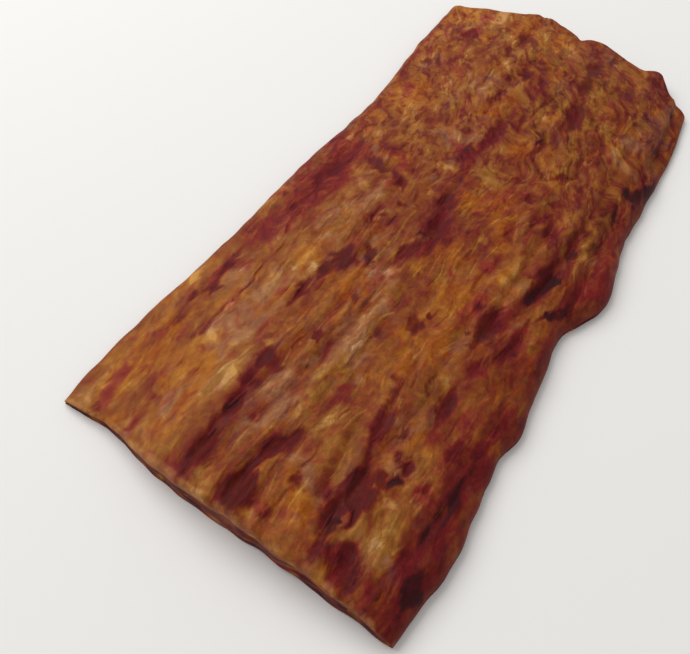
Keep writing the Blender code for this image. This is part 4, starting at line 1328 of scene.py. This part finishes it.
def pale_floor():
    """Matt painted board: plain, nearly white, with no pattern."""
    material = bpy.data.materials.new("matt white board")
    material.use_nodes = True
    shader = material.node_tree.nodes["Principled BSDF"]
    shader.inputs["Base Color"].default_value = (*linear("#F3F1EE"), 1)
    shader.inputs["Roughness"].default_value = 0.85
    shader.inputs["Specular IOR Level"].default_value = 0.1
    return material


def length_setting(name, description, default, least):
    """A length for the panel, given in millimetres."""
    return FloatProperty(
        name=name, description=description, default=default * MM, min=least * MM, unit="LENGTH"
    )


def colour_setting(name, description, default):
    """A colour for the panel, given as linear values."""
    return FloatVectorProperty(
        name=name, description=description, subtype="COLOR", default=default, min=0, max=1
    )


class SlabSizes(PropertyGroup):
    """Sizes of the slab's fine relief and of its loose fibres."""

    strand_width: length_setting("Strand width", "Width of the strands between the fine creases", 3.2, 0.5)
    strand_height: length_setting("Strand height", "How far the strands stand above the creases", 0.3, 0.0)
    fibre_density: FloatProperty(
        name="Fibres",
        description="Number of loose fibres on a square metre of the top",
        default=60000.0,
        min=0.0,
    )
    fibre_length: length_setting("Fibre length", "Usual length of the loose fibres", 9.0, 1.0)
    fibre_width: length_setting("Fibre width", "Width of the loose fibres in their middle", 1.3, 0.05)


class MeatColours(PropertyGroup):
    """Colours of the dried meat, from its darkest hollows to its pale fat."""

    pit: colour_setting("Pit", "Deepest pits", linear("#3A0A12"))
    hollow: colour_setting("Hollow", "Grooves and hollows", surface_colour("#5E201E"))
    lean: colour_setting("Lean", "Sides of the grooves", surface_colour("#6E2E20"))
    ochre: colour_setting("Ochre", "Most of the surface", surface_colour("#7C4222"))
    ridge: colour_setting("Ridge", "Tops of the strands", surface_colour("#8E582A"))
    fat: colour_setting("Fat", "Dried fat and pale fibre ends", surface_colour("#A87642"))
    # Colour of the painted highlight along the cut's lip
    lip: colour_setting("Lip", "Edge of the cut", linear("#B07C52"))
    char: colour_setting("Char", "Nearly black dried spots", linear("#24161B"))


class StageSettings(PropertyGroup):
    """The floor, the light and the camera."""

    floor_size: FloatProperty(
        name="Floor size", description="Length of the floor's sides", default=6.0, min=0.5, unit="LENGTH"
    )
    key_power: FloatProperty(
        name="Key light", description="Power of the large soft light", default=3.4, min=0.0, unit="POWER"
    )
    fill: FloatProperty(name="Fill", description="Strength of the light from all round", default=0.5, min=0.0)
    focal_length: FloatProperty(
        name="Focal length", description="The camera's focal length in millimetres", default=41.74, min=10.0
    )


class OBJECT_OT_meat_slab(Operator):
    """Build the slab with its bundles, grooves, creases and finish"""

    bl_idname = "object.meat_slab"
    bl_label = "Meat Slab"

    def execute(self, context):
        mesh = slab_mesh(context.scene.slab_sizes)
        mesh.materials.append(air_dried_meat(context.scene.meat_colours))
        slab = bpy.data.objects.new("dried-meat-slab", mesh)
        context.scene.collection.objects.link(slab)
        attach(slab, "root")
        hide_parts("meat_slab")
        return {"FINISHED"}


class OBJECT_OT_loose_fibres(Operator):
    """Lay loose fibres along the grain on the slab's top"""

    bl_idname = "object.loose_fibres"
    bl_label = "Loose Fibres"

    def execute(self, context):
        slab = bpy.data.objects.get("dried-meat-slab")
        if slab is None:
            raise RuntimeError("the loose fibres need the meat slab")
        mesh = fibre_mesh(slab, context.scene.slab_sizes)
        fibres = bpy.data.objects.new("loose-fibres", mesh)
        context.scene.collection.objects.link(fibres)
        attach(fibres, "root")
        return {"FINISHED"}


class SCENE_OT_stage(Operator):
    """Build the floor, the light and the camera"""

    bl_idname = "scene.pale_stage"
    bl_label = "Stage"

    def execute(self, context):
        settings = context.scene.stage_settings
        make_floor(settings)
        make_light(settings)
        make_camera(settings)
        return {"FINISHED"}


def make_floor(settings):
    half = settings.floor_size / 2
    corners = [(-half, -half, 0), (half, -half, 0), (half, half, 0), (-half, half, 0)]
    mesh = bpy.data.meshes.new("floor")
    mesh.from_pydata(corners, [], [(0, 1, 2, 3)])
    mesh.materials.append(pale_floor())
    floor = bpy.data.objects.new("floor", mesh)
    bpy.context.scene.collection.objects.link(floor)


def looking(azimuth, elevation):
    """The direction from the slab back to a viewer: azimuth 0 looks along +Y and 90 along -X."""
    a, e = radians(azimuth), radians(elevation)
    return Vector((sin(a) * cos(e), -cos(a) * cos(e), sin(e)))


def make_light(settings):
    """A large soft light high on the slab's left, and an even light all round."""
    light = bpy.data.lights.new("soft key", "AREA")
    light.shape = "RECTANGLE"
    light.size, light.size_y = KEY_SIZE
    light.energy = settings.key_power
    lamp = bpy.data.objects.new("soft key", light)
    back = looking(*KEY_DIRECTION)
    lamp.location = back * KEY_DISTANCE
    lamp.rotation_euler = back.to_track_quat("Z", "Y").to_euler()
    bpy.context.scene.collection.objects.link(lamp)
    world = bpy.data.worlds.new("even light")
    world.use_nodes = True
    background = world.node_tree.nodes["Background"]
    background.inputs["Color"].default_value = (*linear("#FFFFFF"), 1)
    background.inputs["Strength"].default_value = settings.fill
    bpy.context.scene.world = world


def make_camera(settings):
    """The camera, high over the cut end's right corner, as in the photograph."""
    camera = bpy.data.cameras.new("camera")
    camera.lens = settings.focal_length
    camera.clip_start = CAMERA_CLIP * MM
    view = bpy.data.objects.new("camera", camera)
    view.location = Vector(CAMERA_PLACE) * MM
    view.rotation_euler = looking(*CAMERA_DIRECTION).to_track_quat("Z", "Y").to_euler()
    bpy.context.scene.collection.objects.link(view)
    bpy.context.scene.camera = view


class VIEW3D_PT_dried_meat(Panel):
    """Lists the slab's settings and the operators that build it"""

    bl_label = "Dried Meat"
    bl_space_type = "VIEW_3D"
    bl_region_type = "UI"
    bl_category = "Dried Meat"

    def draw(self, context):
        scene = context.scene
        for group in (scene.slab_sizes, scene.meat_colours, scene.stage_settings):
            box = self.layout.box()
            for name in group.bl_rna.properties.keys():
                if name not in ("rna_type", "name"):
                    box.prop(group, name)
        self.layout.operator(OBJECT_OT_meat_slab.bl_idname)
        self.layout.operator(OBJECT_OT_loose_fibres.bl_idname)
        self.layout.operator(SCENE_OT_stage.bl_idname)


CLASSES = (
    SlabSizes,
    MeatColours,
    StageSettings,
    OBJECT_OT_meat_slab,
    OBJECT_OT_loose_fibres,
    SCENE_OT_stage,
    VIEW3D_PT_dried_meat,
)


def register():
    for item in CLASSES:
        bpy.utils.register_class(item)
    bpy.types.Scene.slab_sizes = PointerProperty(type=SlabSizes)
    bpy.types.Scene.meat_colours = PointerProperty(type=MeatColours)
    bpy.types.Scene.stage_settings = PointerProperty(type=StageSettings)


def unregister():
    del bpy.types.Scene.stage_settings
    del bpy.types.Scene.meat_colours
    del bpy.types.Scene.slab_sizes
    for item in reversed(CLASSES):
        bpy.utils.unregister_class(item)


def main():
    register()
    bpy.context.scene.view_settings.view_transform = "Standard"
    bpy.ops.object.meat_slab()
    bpy.ops.object.loose_fibres()
    bpy.ops.scene.pale_stage()


if __name__ == "__main__":
    main()
